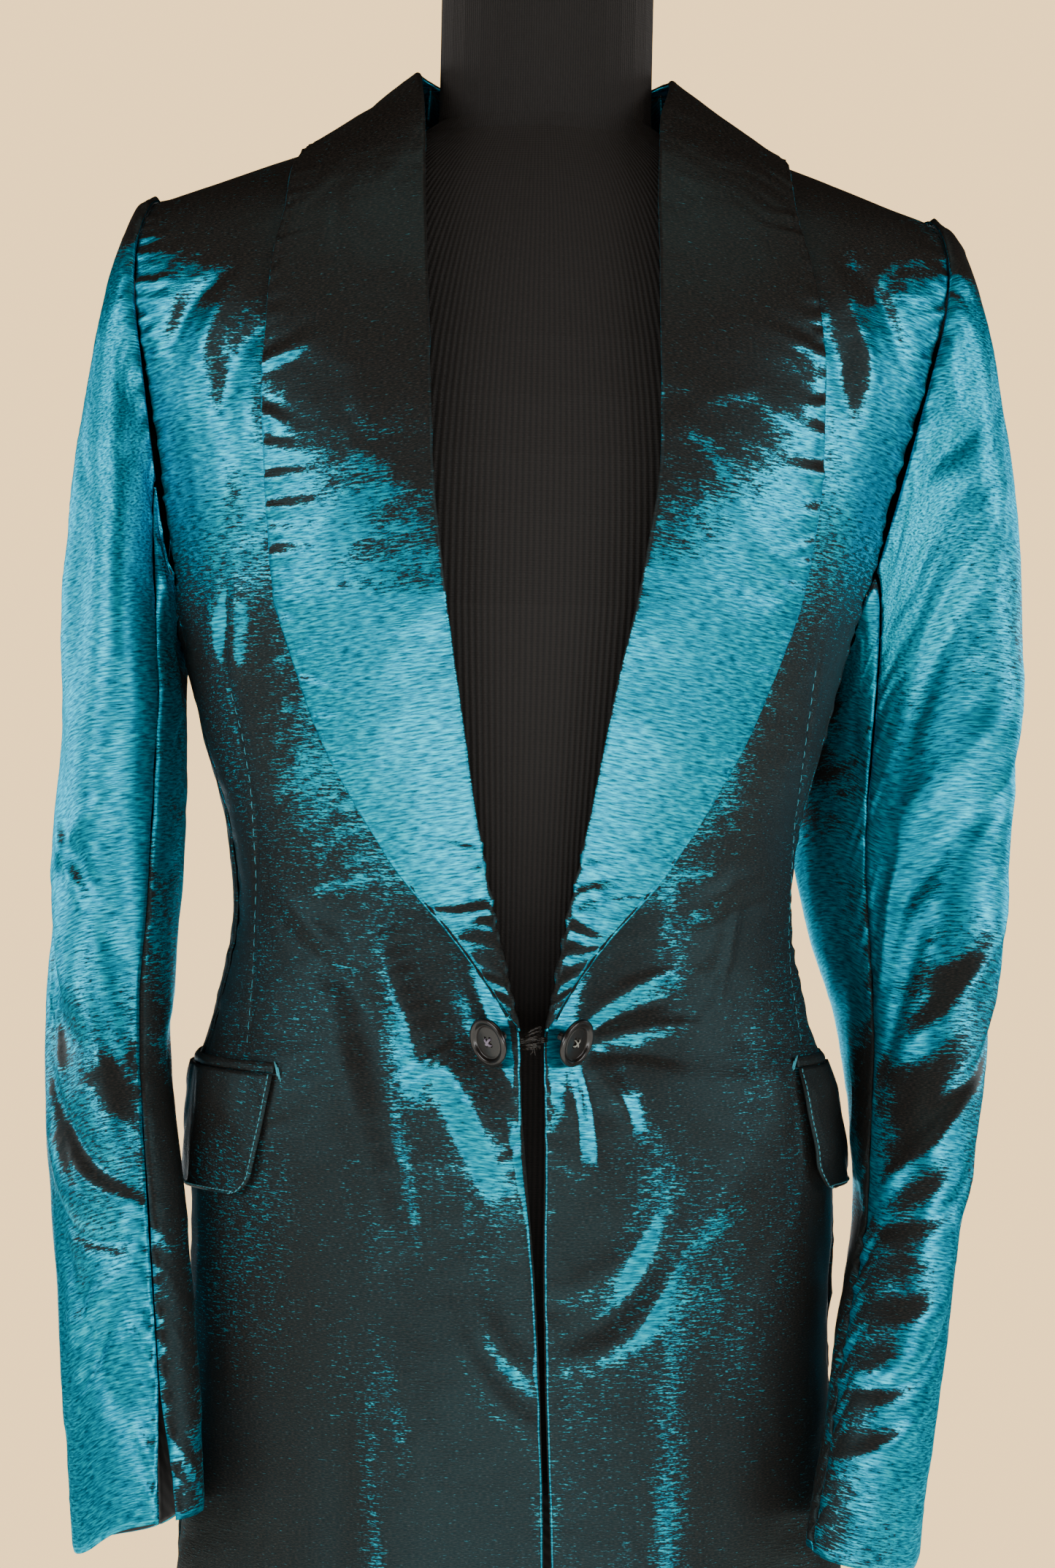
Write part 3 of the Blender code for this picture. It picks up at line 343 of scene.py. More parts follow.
def read_table(rows, columns, wanted, at):
    """A column of a table on a smooth curve through its rows that doesn't overshoot them.

    Between two rows it is the cubic with the rows' values and tangents. A tangent is the harmonic mean
    of the slopes on its two sides, and 0 where they differ in sign.
    """
    places = np.array([row[0] for row in rows])
    values = np.array([row[columns.index(wanted)] for row in rows])
    steps = np.diff(places)
    slopes = np.diff(values) / steps
    tangents = np.zeros(len(rows))
    same_way = slopes[:-1] * slopes[1:] > 0
    harmonic = 2 * slopes[:-1] * slopes[1:] / np.where(same_way, slopes[:-1] + slopes[1:], 1.0)
    tangents[1:-1] = np.where(same_way, harmonic, 0.0)
    tangents[0], tangents[-1] = slopes[0], slopes[-1]
    at = np.clip(np.asarray(at, float), places[0], places[-1])
    row = np.clip(np.searchsorted(places, at) - 1, 0, len(rows) - 2)
    share = (at - places[row]) / steps[row]
    rise = steps[row] * (
        tangents[row] * (share - 2 * share**2 + share**3)
        + tangents[row + 1] * (share**3 - share**2)
    )
    return values[row] + (values[row + 1] - values[row]) * (3 * share**2 - 2 * share**3) + rise


def body(wanted, height):
    """A column of the body's table at a height."""
    return read_table(BODY, BODY_COLUMNS, wanted, height)


def signed_power(value, power):
    """|value|^power with the value's sign."""
    return np.sign(value) * np.abs(value) ** power


print(f"half width at the waist {float(body('half_width', WAIST_HEIGHT)):.4f} m")

# %% The body below the armpit


def skirt_wave(angle, height):
    """Bells round the body, one for each fold, that grow from the hip to the hem."""
    grown = smooth_step((FOLD_START_HEIGHT - height) / (FOLD_START_HEIGHT - HEM_HEIGHT))
    return grown * sum(stand * bell(np.abs(angle) - at, width) for at, width, stand in SKIRT_FOLDS)


def link_ridge(across, height):
    """The linked edges stand forward: a bell across times a bell up and down."""
    return LINK_RIDGE * bell(across, LINK_RIDGE_WIDTH) * bell(height - LINK_HEIGHT, LINK_RIDGE_HEIGHT)


def girth(angle, height, side):
    """A superellipse ring: x = half sin^(2/n), y = -depth cos^(2/n), with the front's or back's depth."""
    turn = np.radians(angle)
    across = signed_power(np.sin(turn), 2 / SQUARENESS)
    along = signed_power(np.cos(turn), 2 / SQUARENESS)
    wave = skirt_wave(angle, height)
    x = (body("half_width", height) + wave) * across
    deep = np.where(along > 0, body("front", height), body("back", height)) + wave
    y = -deep * along - np.where(along > 0, link_ridge(x, height), 0.0)
    return stack(side * x + body("shift", height), y, height)


def curve_depth(across_share):
    """The superellipse's depth as a share: (1 - |s|^n)^(1/n), at the share s of the half width."""
    return np.clip(1 - np.abs(across_share) ** SQUARENESS, 0, 1) ** (1 / SQUARENESS)


half_round = girth(np.linspace(0, 180, 181), np.full(181, WAIST_HEIGHT), 1.0)
print(f"round the waist {2 * float(lengths(half_round[None])[0].max()):.3f} m")

# %% The shoulder above it


def shoulder_line(across):
    """The shoulder's height: it rises from the tip towards the neck by a fixed slope."""
    return SHOULDER_HEIGHT + SHOULDER_SLOPE * (SHOULDER_HALF - np.abs(across))


def roundness(across, climb):
    """How square the arc over the shoulder is: rounder beside the neck, squarer at the sleeve."""
    outer = smooth_step((np.abs(across) - 0.05) / 0.13)
    return np.where(climb <= YOKE_TURN, 2.0 + 0.7 * outer, 2.3 + 0.4 * outer)


def yoke_half(climb):
    """Half the width: from the armpit's to the top's with sin(climb)^0.8."""
    rise = np.sin(np.radians(np.where(climb > YOKE_TURN, 2 * YOKE_TURN - climb, climb)))
    return LOW["half_width"] + (YOKE_HALF_TOP - LOW["half_width"]) * rise**0.8


def yoke(across, climb, side):
    """A superellipse arc from the front armpit level (climb 0) over the ridge (90) to the back (180)."""
    behind = climb > YOKE_TURN
    steep = np.radians(np.where(behind, 2 * YOKE_TURN - climb, climb))
    power = 2 / roundness(across, climb)
    risen = np.clip(np.sin(steep), 0, 1) ** power
    left = np.clip(np.cos(steep), 0, 1) ** power
    grown = smooth_step(risen / 0.35)
    deep = np.where(
        behind,
        LOW["back"] + (YOKE_BACK - LOW["back"]) * grown,
        LOW["front"] + (YOKE_FRONT - LOW["front"]) * grown,
    )
    depth = deep * curve_depth(across / yoke_half(climb)) * left + SEAM_GAP * 0.7
    reach = smooth_step(1 - risen / 0.95) * smooth_step(risen / 0.3)
    for top, low, width, stand in DRAG_FOLDS:
        at = low + (top - low) * risen
        depth = depth + np.where(behind, 0.0, stand * bell(across - at, width)) * reach
    z = ARMPIT_HEIGHT + risen * (shoulder_line(across) - ARMPIT_HEIGHT)
    shift = LOW["shift"] + (YOKE_SHIFT - LOW["shift"]) * risen
    return stack(side * across + shift, np.where(behind, depth, -depth), z)


def skin(across, travel, side):
    """Ring below the armpit where travel is negative (metres), arc where it is positive (degrees)."""
    height = ARMPIT_HEIGHT + np.minimum(travel, 0.0)
    low = girth(angle_at(across, body("half_width", height)), height, side)
    high = yoke(across, np.maximum(travel, 0.0), side)
    return np.where((travel <= 0)[..., None], low, high)


def angle_at(across, half):
    """The ring's angle at a distance from the middle: x = half sin^(2/n) read backwards."""
    return np.degrees(np.arcsin(np.clip(signed_power(across / half, SQUARENESS / 2), -1, 1)))


def travel_of(across, height):
    """The travel of a point on the front at that distance from the middle and height."""
    over = np.clip((height - ARMPIT_HEIGHT) / (shoulder_line(across) - ARMPIT_HEIGHT), 0, 1)
    climb = np.degrees(np.arcsin(over ** (roundness(across, np.zeros_like(across)) / 2)))
    return np.where(height > ARMPIT_HEIGHT, climb, height - ARMPIT_HEIGHT)


SMALL_METRES = 1e-3
SMALL_ANGLE_DEG = 0.2
SMALL_CLIMB_DEG = 0.3


def raised(surface, first, second, side, distance):
    """Points of a surface moved out along its normal, which small steps both ways give."""
    point = surface(first, second, side)
    small = SMALL_METRES if surface in (skin, yoke) else SMALL_ANGLE_DEG
    climbs = np.asarray(second) > 0 if surface is skin else surface is yoke
    upright = np.where(climbs, SMALL_CLIMB_DEG, SMALL_METRES)
    along = surface(first + small, second, side) - surface(first - small, second, side)
    up = surface(first, second + upright, side) - surface(first, second - upright, side)
    return point + unit(np.cross(along, up) * side) * np.asarray(distance)[..., None]


print(f"shoulder {shoulder_line(SHOULDER_HALF):.3f} m up, {shoulder_line(NECK_HALF):.3f} m at the neck")

# %% The front opening


def opening(wanted, height):
    """A column of the opening's table at a height."""
    return read_table(OPENING, OPENING_COLUMNS, wanted, height)


def body_shift(height):
    """How far the body's middle is shifted: the table's value, then evenly to the yoke's at the top."""
    over = np.clip((height - ARMPIT_HEIGHT) / (SHOULDER_HEIGHT - ARMPIT_HEIGHT), 0, 1)
    return body("shift", height) + (YOKE_SHIFT - LOW["shift"]) * over


def off_middle(height, side):
    """What a distance from the opening's middle gains when it is taken from the body's middle."""
    return side * (opening("middle", height) - body_shift(height))


def opening_edge(height, side):
    """The front edge's distance from the body's middle: half the gap, and where the gap's middle is."""
    return opening("half_gap", height) + off_middle(height, side)


print("front edges at the link", [round(float(opening_edge(LINK_HEIGHT, side)), 4) for side in (1, -1)], "m")

# %% [markdown]
# ## Fronts, sides and back
#
# Each panel is cut from hem to shoulder in one piece. Two numbers run over it: u from the front edge to
# the side seam, and v from the hem to the shoulder. Up to the armpit v gives a height, and above it a
# climb over the shoulder, so the panel's rows follow the cloth and not the floor.

# %% Panels
BODY_LEVELS = np.concatenate([np.linspace(HEM_HEIGHT, 0.950, 7), np.linspace(0.985, ARMPIT_HEIGHT, 9)])
CLIMBS = np.array([0, 7, 15, 24, 34, 45, 56, 67, 78, 86, 90.0])  # degrees
BELOW = len(BODY_LEVELS) - 1
EDGE_CROWDING = 1.12  # a power above 1 sets the columns closer beside the front edge
VENT_HEIGHT_BACK = 0.84
VENT_GAPS = (0.0006, 0.0016)  # half the centre back's gap, and what the vent adds towards the hem


def level_and_climb(share):
    """The height and the climb at a share of the way from the hem to the shoulder."""
    row = share * (BELOW + len(CLIMBS) - 1)
    height = np.interp(row, np.arange(BELOW + 1), BODY_LEVELS)
    climb = np.interp(row - BELOW, np.arange(len(CLIMBS)), CLIMBS)
    return height, climb, row > BELOW


def front_panel(side):
    """From the front edge or roll line to the side seam or armhole, at even angles round the body."""

    def surface(u, v):
        height, climb, above = level_and_climb(v)
        half = body("half_width", height)
        u = u**EDGE_CROWDING
        start = angle_at(opening_edge(height, side), half)
        inset = SEAM_GAP / 2 / half * np.degrees(1)
        low = girth(np.minimum(start + (FRONT_SEAM_DEG - start) * u, FRONT_SEAM_DEG - inset), height, side)
        near = np.full_like(u, NECK_HALF)
        risen = np.sin(np.radians(climb)) ** (2 / roundness(near, climb))
        at = ARMPIT_HEIGHT + risen * (shoulder_line(near) - ARMPIT_HEIGHT)
        wide = yoke_half(climb)
        start = angle_at(opening_edge(at, side), wide)
        end = angle_at(read_table(ARMHOLE, ARMHOLE_COLUMNS, "front", climb), wide)
        across = wide * signed_power(np.sin(np.radians(start + (end - start) * u)), 2 / SQUARENESS)
        return np.where(above[..., None], yoke(across, climb, side), low)

    return surface


def side_panel(side):
    """Between the two side seams, with its top edge scooped out under the arm by a sine."""

    def surface(u, v):
        height = np.interp(v * BELOW, np.arange(BELOW + 1), BODY_LEVELS)
        inset = SEAM_GAP / body("half_width", height) * np.degrees(1)
        angle = FRONT_SEAM_DEG + inset + (BACK_SEAM_DEG - FRONT_SEAM_DEG - 2 * inset) * u
        dip = ARMPIT_DIP * np.sin(np.pi * u) ** 0.8 * v**6
        return girth(angle, height - dip, side)

    return surface


def neck_climb(across):
    """The climb at which the back ends: the neckline, a quarter oval, or the shoulder's ridge beyond."""
    share = np.clip(np.abs(across) / NECK_HALF, 0, 1)
    return YOKE_TURN + 0.01 + NECK_DROP_DEG * np.sqrt(1 - share**2)


def back_panel(side):
    """From the side seam to the centre back, which opens a little as a vent towards the hem."""

    def surface(u, v):
        height, climb, above = level_and_climb(v)
        vent = VENT_GAPS[0] + VENT_GAPS[1] * smooth_step((VENT_HEIGHT_BACK - height) / 0.30)
        half = body("half_width", height)
        start = BACK_SEAM_DEG + SEAM_GAP / half * np.degrees(1)
        middle = CENTRE_BACK_DEG - np.degrees(np.arcsin((vent / half) ** (SQUARENESS / 2)))
        low = girth(start + (middle - start) * u, height, side)
        wide = yoke_half(climb)
        end = angle_at(read_table(ARMHOLE, ARMHOLE_COLUMNS, "back", climb), wide)
        angle = end * (1 - u) + np.degrees(np.arcsin((VENT_GAPS[0] / wide) ** (SQUARENESS / 2))) * u
        across = wide * np.sin(np.radians(angle)) ** (2 / SQUARENESS)
        share = climb / YOKE_TURN
        high = yoke(across, 2 * YOKE_TURN - (2 * YOKE_TURN - neck_climb(across)) * share, side)
        return np.where(above[..., None], high, low)

    return surface


print(f"{len(BODY_LEVELS)} levels up to the armpit and {len(CLIMBS)} climbs over the shoulder")

# %% [markdown]
# ## The shawl collar
#
# A shawl collar is one strip from the link round the neck to the centre back: it folds over at the roll
# line and lies on the fronts with its outer edge. Its two borders are tables by station, and the strip
# between them lies just above the body's surface, bowed a little so that it isn't pressed flat.

# %% Collar
# columns: the roll line's height, the outer edge's distance from the opening's middle and its height
COLLAR_FRONT = (
    (1.022, 0.0105, 1.0275),
    (1.042, 0.0245, 1.0470),
    (1.066, 0.0400, 1.0670),
    (1.095, 0.0610, 1.0920),
    (1.130, 0.0850, 1.1300),
    (1.165, 0.1040, 1.1660),
    (1.205, 0.1195, 1.2080),
    (1.250, 0.1290, 1.2500),
    (1.300, 0.1338, 1.2950),
    (1.350, 0.1352, 1.3400),
    (1.400, 0.1318, 1.3850),
    (1.436, 0.1252, 1.4170),
    (1.458, 0.1232, 1.4370),
)
# columns: the same over the shoulder and round the neck, with climbs in degrees for heights
COLLAR_OVER = (
    (84.0, 0.1200, 80.0),
    (94.0, 0.1130, 98.0),
    (103.0, 0.0980, 112.0),
    (110.0, 0.0740, 122.0),
    (115.0, 0.0420, 127.5),
    (117.0, 0.0003, 129.0),
)
COLLAR_STAND_HEIGHT = 0.024
COLLAR_LIFT_START_DEG = 45.0
COLLAR_BOW = 0.0022
COLLAR_THICKNESS = 0.0024
STAND_INSET = 0.0031
STAND_LEAN = 0.0010
METRES_PER_DEGREE = 0.0035


def as_metres(travel):
    """Travel in metres throughout: a climb times the length of one degree."""
    return np.where(travel > 0, travel * METRES_PER_DEGREE, travel)


def as_travel(metres):
    """The way back from as_metres."""
    return np.where(metres > 0, metres / METRES_PER_DEGREE, metres)


def collar(side):
    """Each point is a share u of the way from the roll line to the edge, at the station v.

    It lies off the skin by the cloth, some air and a sine of u, and the neck's part is lifted as a stand.
    """
    low, over = np.array(COLLAR_FRONT), np.array(COLLAR_OVER)
    edge_half = low[:, 1] + off_middle(low[:, 2], side)
    edges = np.concatenate([travel_of(edge_half, low[:, 2]), over[:, 2]])
    rolls = np.concatenate([travel_of(np.full(len(low), NECK_HALF), low[:, 0]), over[:, 0]])
    stations = np.arange(len(rolls))
    halves = np.concatenate([edge_half, over[:, 1]])
    rows = list(zip(stations, as_metres(rolls), as_metres(edges), halves))
    names = ("at", "roll", "edge", "half")

    def surface(u, v):
        place = v * stations[-1]
        roll = read_table(rows, names, "roll", place)
        edge = read_table(rows, names, "edge", place)
        far = read_table(rows, names, "half", place)
        climb = np.maximum(as_travel(roll), 0.0)
        up = np.sin(np.radians(np.clip(climb, 0, 90))) * (shoulder_line(NECK_HALF) - ARMPIT_HEIGHT)
        near = opening_edge(ARMPIT_HEIGHT + np.where(roll > 0, up, roll), side)
        behind = np.clip((climb - YOKE_TURN) / NECK_DROP_DEG, 0, 1)
        near = np.where(climb > YOKE_TURN, NECK_HALF * np.sqrt(1 - behind**2), near)
        near = np.maximum(near, 0.0003)
        off = CLOTH + LAY_GAP + COLLAR_BOW * np.sin(np.pi * u) * smooth_step(v / 0.25)
        point = raised(skin, near + (far - near) * u, as_travel(roll + (edge - roll) * u), side, off)
        lift = COLLAR_STAND_HEIGHT * smooth_step((climb - COLLAR_LIFT_START_DEG) / 60.0)
        point[..., 2] += lift * (1 - u) ** 1.7
        return point

    return surface


def collar_stand(u, v):
    """The band inside the neck: the neckline moved inward by the wall, and up by the stand's height."""
    turn = u * 2 - 1
    side = np.where(turn < 0, -1.0, 1.0)
    around = np.abs(turn)
    across = np.maximum(NECK_HALF * np.sin(around * np.pi / 2), 1e-4)
    neck = yoke(across, neck_climb(across), side)
    inward = stack(-side * np.sin(around * np.pi / 2), -np.cos(around * np.pi / 2))
    neck[..., :2] += inward * (STAND_INSET + STAND_LEAN * v[..., None])
    neck[..., 2] += 0.001 + COLLAR_STAND_HEIGHT * (0.70 + 0.22 * (1 - around)) * v
    return neck


print(len(COLLAR_FRONT) + len(COLLAR_OVER), "stations from the link to the centre back")

# %% [markdown]
# ## Sleeves
#
# A tailored sleeve is cut in two strips, a wide top and a narrow under sleeve, and it hangs bent at the
# elbow. The rings are flat ovals turned about the upright. Above the upper arm a smooth sheet of curves
# runs from that ring to the armhole: it leaves the shoulder outward and arrives hanging.

# %% Sleeve sizes
# a ring's height, where its middle is, its half width and half length, and its turn in degrees
SLEEVE_COLUMNS = ("height", "out", "ahead", "thin", "long", "turn")
SLEEVE_ROWS = {
    "right": (
        (0.7695, 0.1870, -0.0630, 0.0240, 0.0450, 31.0),
        (0.820, 0.1912, -0.0530, 0.0255, 0.0470, 30.0),
        (0.880, 0.1968, -0.0420, 0.0275, 0.0482, 27.0),
        (0.940, 0.2034, -0.0290, 0.0292, 0.0500, 20.0),
        (0.990, 0.2080, -0.0180, 0.0300, 0.0525, 8.0),
        (1.030, 0.2093, -0.0090, 0.0302, 0.0555, 3.0),
        (1.110, 0.2060, 0.0020, 0.0305, 0.0610, -6.0),
        (1.170, 0.2052, 0.0040, 0.0292, 0.0650, -4.0),
    ),
    "left": (
        (0.7697, 0.1680, -0.0860, 0.0240, 0.0455, 24.0),
        (0.820, 0.1755, -0.0760, 0.0245, 0.0475, 14.0),
        (0.870, 0.1835, -0.0620, 0.0262, 0.0495, 8.0),
        (0.920, 0.1922, -0.0440, 0.0250, 0.0515, 2.0),
        (0.970, 0.1978, -0.0230, 0.0285, 0.0535, -6.0),
        (1.020, 0.2000, -0.0010, 0.0300, 0.0560, -22.0),
        (1.060, 0.1978, 0.0080, 0.0305, 0.0605, -38.0),
        (1.110, 0.1955, 0.0150, 0.0315, 0.0650, -46.0),
        (1.170, 0.1985, 0.0150, 0.0315, 0.0650, -42.0),
    ),
}
SLEEVE_FRONT_SEAM_DEG = {"right": 110.0, "left": 134.0}
SLEEVE_BACK_SEAM_DEG = -108.0
SLEEVE_RISE = {"right": 0.066, "left": 0.072}
SLEEVE_UNDERARM = 0.005
SLEEVE_DROP = 0.022
ARMHOLE_GAP = 0.0016
ARMHOLE_SOFTENING = 6
SLEEVE_SEAM_DEG = 0.35
SLEEVE_HEAD_SEAM_DEG = 0.55
CUFF_SLANT = {"right": 0.0143, "left": 0.0095}
CUFF_LOW_DEG = {"right": -30.0, "left": 30.0}
CUFF_SLANT_HEIGHT = 0.900
VENT_HEIGHT = 0.845
VENT_OPEN_DEG = {"right": 9.0, "left": 0.8}
# columns: angle and height of the upper end, the same of the lower one, then width and stand
CREASES = {
    "right": (
        (52.0, 1.140, 92.0, 1.030, 0.014, -0.0040),
        (24.0, 1.050, 74.0, 0.940, 0.015, -0.0038),
        (92.0, 0.970, 40.0, 0.880, 0.015, 0.0032),
        (40.0, 0.900, 84.0, 0.830, 0.013, -0.0028),
    ),
    "left": (
        (20.0, 1.150, 66.0, 1.010, 0.014, -0.0042),
        (62.0, 1.130, 100.0, 1.030, 0.014, 0.0034),
        (84.0, 0.990, 36.0, 0.900, 0.015, -0.0036),
        (44.0, 0.940, 96.0, 0.860, 0.014, 0.0030),
    ),
}
METRES_PER_SLEEVE_DEGREE = 0.0008
HEAD_SHARES = np.array([0, 0.07, 0.16, 0.27, 0.40, 0.55, 0.70, 0.85, 1.0])
HEAD_ROWS = len(HEAD_SHARES) - 1
SLEEVE_STEPS = 12
print("cuffs", {which: rows[0][0] for which, rows in SLEEVE_ROWS.items()}, "m up")

# %% Sleeve shape


def crease(which, angle, height):
    """Each crease is a bell across a slanting line on the unrolled sleeve, faded at its two ends."""
    total = 0.0
    for a_top, z_top, a_low, z_low, width, stand in CREASES[which]:
        share = np.clip((z_top - height) / (z_top - z_low), -0.4, 1.4)
        away = (angle - (a_top + (a_low - a_top) * share)) * METRES_PER_SLEEVE_DEGREE
        fade = smooth_step((share + 0.4) / 0.5) * smooth_step((1.4 - share) / 0.5)
        total = total + stand * bell(away, width) * fade
    return total


def sleeve_ring(which, angle, height):
    """An oval ring: its radius is thin long / hypot(long cos, thin sin) of the angle from its turn."""
    rows = SLEEVE_ROWS[which]
    out, ahead, thin, long, turn = (
        read_table(rows, SLEEVE_COLUMNS, name, height) for name in SLEEVE_COLUMNS[1:]
    )
    lean = np.radians(angle - turn)
    radius = thin * long / np.hypot(long * np.cos(lean), thin * np.sin(lean))
    radius = radius + crease(which, angle, height)
    x = SIDES[which] * (out + radius * np.cos(np.radians(angle)))
    y = ahead - radius * np.sin(np.radians(angle))
    slanted = smooth_step((CUFF_SLANT_HEIGHT - height) / (CUFF_SLANT_HEIGHT - rows[0][0]))
    z = height - CUFF_SLANT[which] * slanted * np.cos(np.radians(angle - CUFF_LOW_DEG[which]))
    return stack(x, y, z)


def evenly_spaced(points, count):
    """Points at even lengths along a line of points."""
    along = run(points, 0)
    return read_points(np.linspace(0.0, along[-1], count), along, points)


def armhole_half(side, front):
    """The seam line from the shoulder's tip to the armpit, off the panels, softened by averaging."""
    climbs = np.linspace(89.5, 0.5, 40)
    across = read_table(ARMHOLE, ARMHOLE_COLUMNS, "front" if front else "back", climbs)
    travel = climbs if front else 2 * YOKE_TURN - climbs
    off = CLOTH + ARMHOLE_GAP + CLOTH * smooth_step((35 - climbs) / 30)
    upper = raised(yoke, across, travel, side, off)
    u = np.linspace(0.08, 0.5, 10)
    angle = FRONT_SEAM_DEG + (BACK_SEAM_DEG - FRONT_SEAM_DEG) * (u if front else 1 - u)
    dip = ARMPIT_DIP * np.sin(np.pi * u) ** 0.8
    lower = raised(girth, angle, ARMPIT_HEIGHT - dip, side, np.full(len(u), 2 * CLOTH + ARMHOLE_GAP))
    points = evenly_spaced(np.concatenate([upper, lower]), 61)
    for _ in range(ARMHOLE_SOFTENING):
        points[1:-1] = points[1:-1] / 2 + (points[:-2] + points[2:]) / 4
    return points


def sleeve_head(which, angle, share):
    """Hermite cubics from the armhole to the upper arm's ring, with a direction given at each end."""
    side = SIDES[which]
    top_height = SLEEVE_ROWS[which][-1][0]
    start = np.zeros((*angle.shape, 3))
    for front in (True, False):
        points = armhole_half(side, front)
        at = np.abs(angle) / 180.0 * (len(points) - 1)
        found = read_points(at, np.arange(len(points)), points)
        start = np.where(((angle >= 0) == front)[..., None], found, start)
    end = sleeve_ring(which, angle, np.full_like(angle, top_height))
    below = sleeve_ring(which, angle, np.full_like(angle, top_height - 0.01))
    outer = (1 + np.cos(np.radians(angle))) / 2
    leave = SLEEVE_UNDERARM + (SLEEVE_RISE[which] - SLEEVE_UNDERARM) * outer**1.3
    fan = np.sin(np.radians(angle)) * 0.25 * outer
    drop = SLEEVE_DROP * (1 - outer) ** 1.5
    away = stack(side * leave, -fan * leave, (outer - 0.75) * 0.3 * leave - drop)
    arrive = (below - end) / 0.01 * np.linalg.norm(end - start, axis=-1, keepdims=True) * 1.05
    t = share[..., None]
    return (
        (2 * t**3 - 3 * t**2 + 1) * start
        + (t**3 - 2 * t**2 + t) * away
        + (3 * t**2 - 2 * t**3) * end
        + (t**3 - t**2) * arrive
    )


def sleeve_angle(which, strip, u, v):
    """The angle on the sleeve and the row, counted from the armhole, of a point of one of its strips."""
    rows = SLEEVE_ROWS[which]
    row = (1 - v) * (HEAD_ROWS + SLEEVE_STEPS - 1)
    heights = np.linspace(rows[-1][0], rows[0][0], SLEEVE_STEPS)
    height = np.interp(row - HEAD_ROWS, np.arange(SLEEVE_STEPS), heights)
    opened = smooth_step((VENT_HEIGHT - height) / (VENT_HEIGHT - rows[0][0])) * (row > HEAD_ROWS)
    gap = SLEEVE_SEAM_DEG + SLEEVE_HEAD_SEAM_DEG * np.clip(1 - (row - HEAD_ROWS) / 4, 0, 1)
    seam, vent = SLEEVE_FRONT_SEAM_DEG[which], VENT_OPEN_DEG[which]
    if strip == "top":
        start, end = SLEEVE_BACK_SEAM_DEG + gap, seam - vent * 0.4 * opened - gap
    else:
        start, end = seam + vent * 0.6 * opened + gap, 360 + SLEEVE_BACK_SEAM_DEG - gap
    return start + (end - start) * u, row, height


def sleeve_piece(which, strip):
    """A strip between two seams: head curves above the upper arm, oval rings below it."""

    def surface(u, v):
        angle, row, height = sleeve_angle(which, strip, u, v)
        angle = np.where(angle > 180, angle - 360, angle)
        share = np.interp(row, np.arange(HEAD_ROWS + 1), HEAD_SHARES)
        upper = sleeve_head(which, angle, share)
        return np.where((row < HEAD_ROWS)[..., None], upper, sleeve_ring(which, angle, height))

    return surface


print(HEAD_ROWS, "rows of sleeve head above", SLEEVE_STEPS, "rings")

# %% [markdown]
# ## Pockets
#
# Each hip pocket is a slit with a narrow jet sewn along its top and a flap that hangs from it. The flap is
# cut on a slant at the front and rounded at its corners, and it lies on the skirt with a little air.

# %% Pocket flap and jet
FLAP_TOP = {"right": 0.9945, "left": 1.0000}
FLAP_DEPTH = 0.0590
FLAP_FRONT_HALF = 0.1275
FLAP_MIDDLE = 0.004
FLAP_BACK_DEG = 108.0
FLAP_SLANT_DEG = 5.5
FLAP_CORNER = 0.22  # share of the depth that the lower corners' rounding takes
FLAP_CORNER_DEG = 5.0
FLAP_HANG = {"right": 0.0025, "left": 0.0060}  # how far the lower edge stands off
WELT_DEPTH = 0.0050
WELT_THICKNESS = 0.0014


def flap_angles(which, depth):
    """Both ends of a flap, in degrees: a slanted line, and quarter ovals at the lower corners."""
    side = SIDES[which]
    height = FLAP_TOP[which] - FLAP_DEPTH * depth
    out = FLAP_FRONT_HALF + side * (FLAP_MIDDLE - body("shift", height))
    top = angle_at(out, body("half_width", height))
    into = np.clip((depth - (1 - FLAP_CORNER)) / FLAP_CORNER, 0, 1)
    round_off = FLAP_CORNER_DEG * (1 - np.sqrt(1 - into**2))
    return top + FLAP_SLANT_DEG * depth + round_off, FLAP_BACK_DEG - round_off


def pocket_flap(which):
    """The skirt's surface between the flap's ends, moved out more towards its lower edge."""

    def surface(u, v):
        depth = 1 - v
        front, back = flap_angles(which, depth)
        hang = CLOTH + LAY_GAP + FLAP_HANG[which] * depth**1.2
        height = FLAP_TOP[which] - FLAP_DEPTH * depth
        return raised(girth, front + (back - front) * u, height, SIDES[which], hang)

    return surface


def pocket_welt(which):
    """A strip along the flap's top, just off the skirt."""

    def surface(u, v):
        front, back = flap_angles(which, np.zeros_like(u))
        height = FLAP_TOP[which] + 0.0006 + WELT_DEPTH * v
        off = np.full_like(u, CLOTH + 0.0005)
        return raised(girth, front + (back - front) * u, height, SIDES[which], off)

    return surface


print("flaps start at", [round(float(flap_angles(which, 0.0)[0])) for which in SIDES], "degrees")
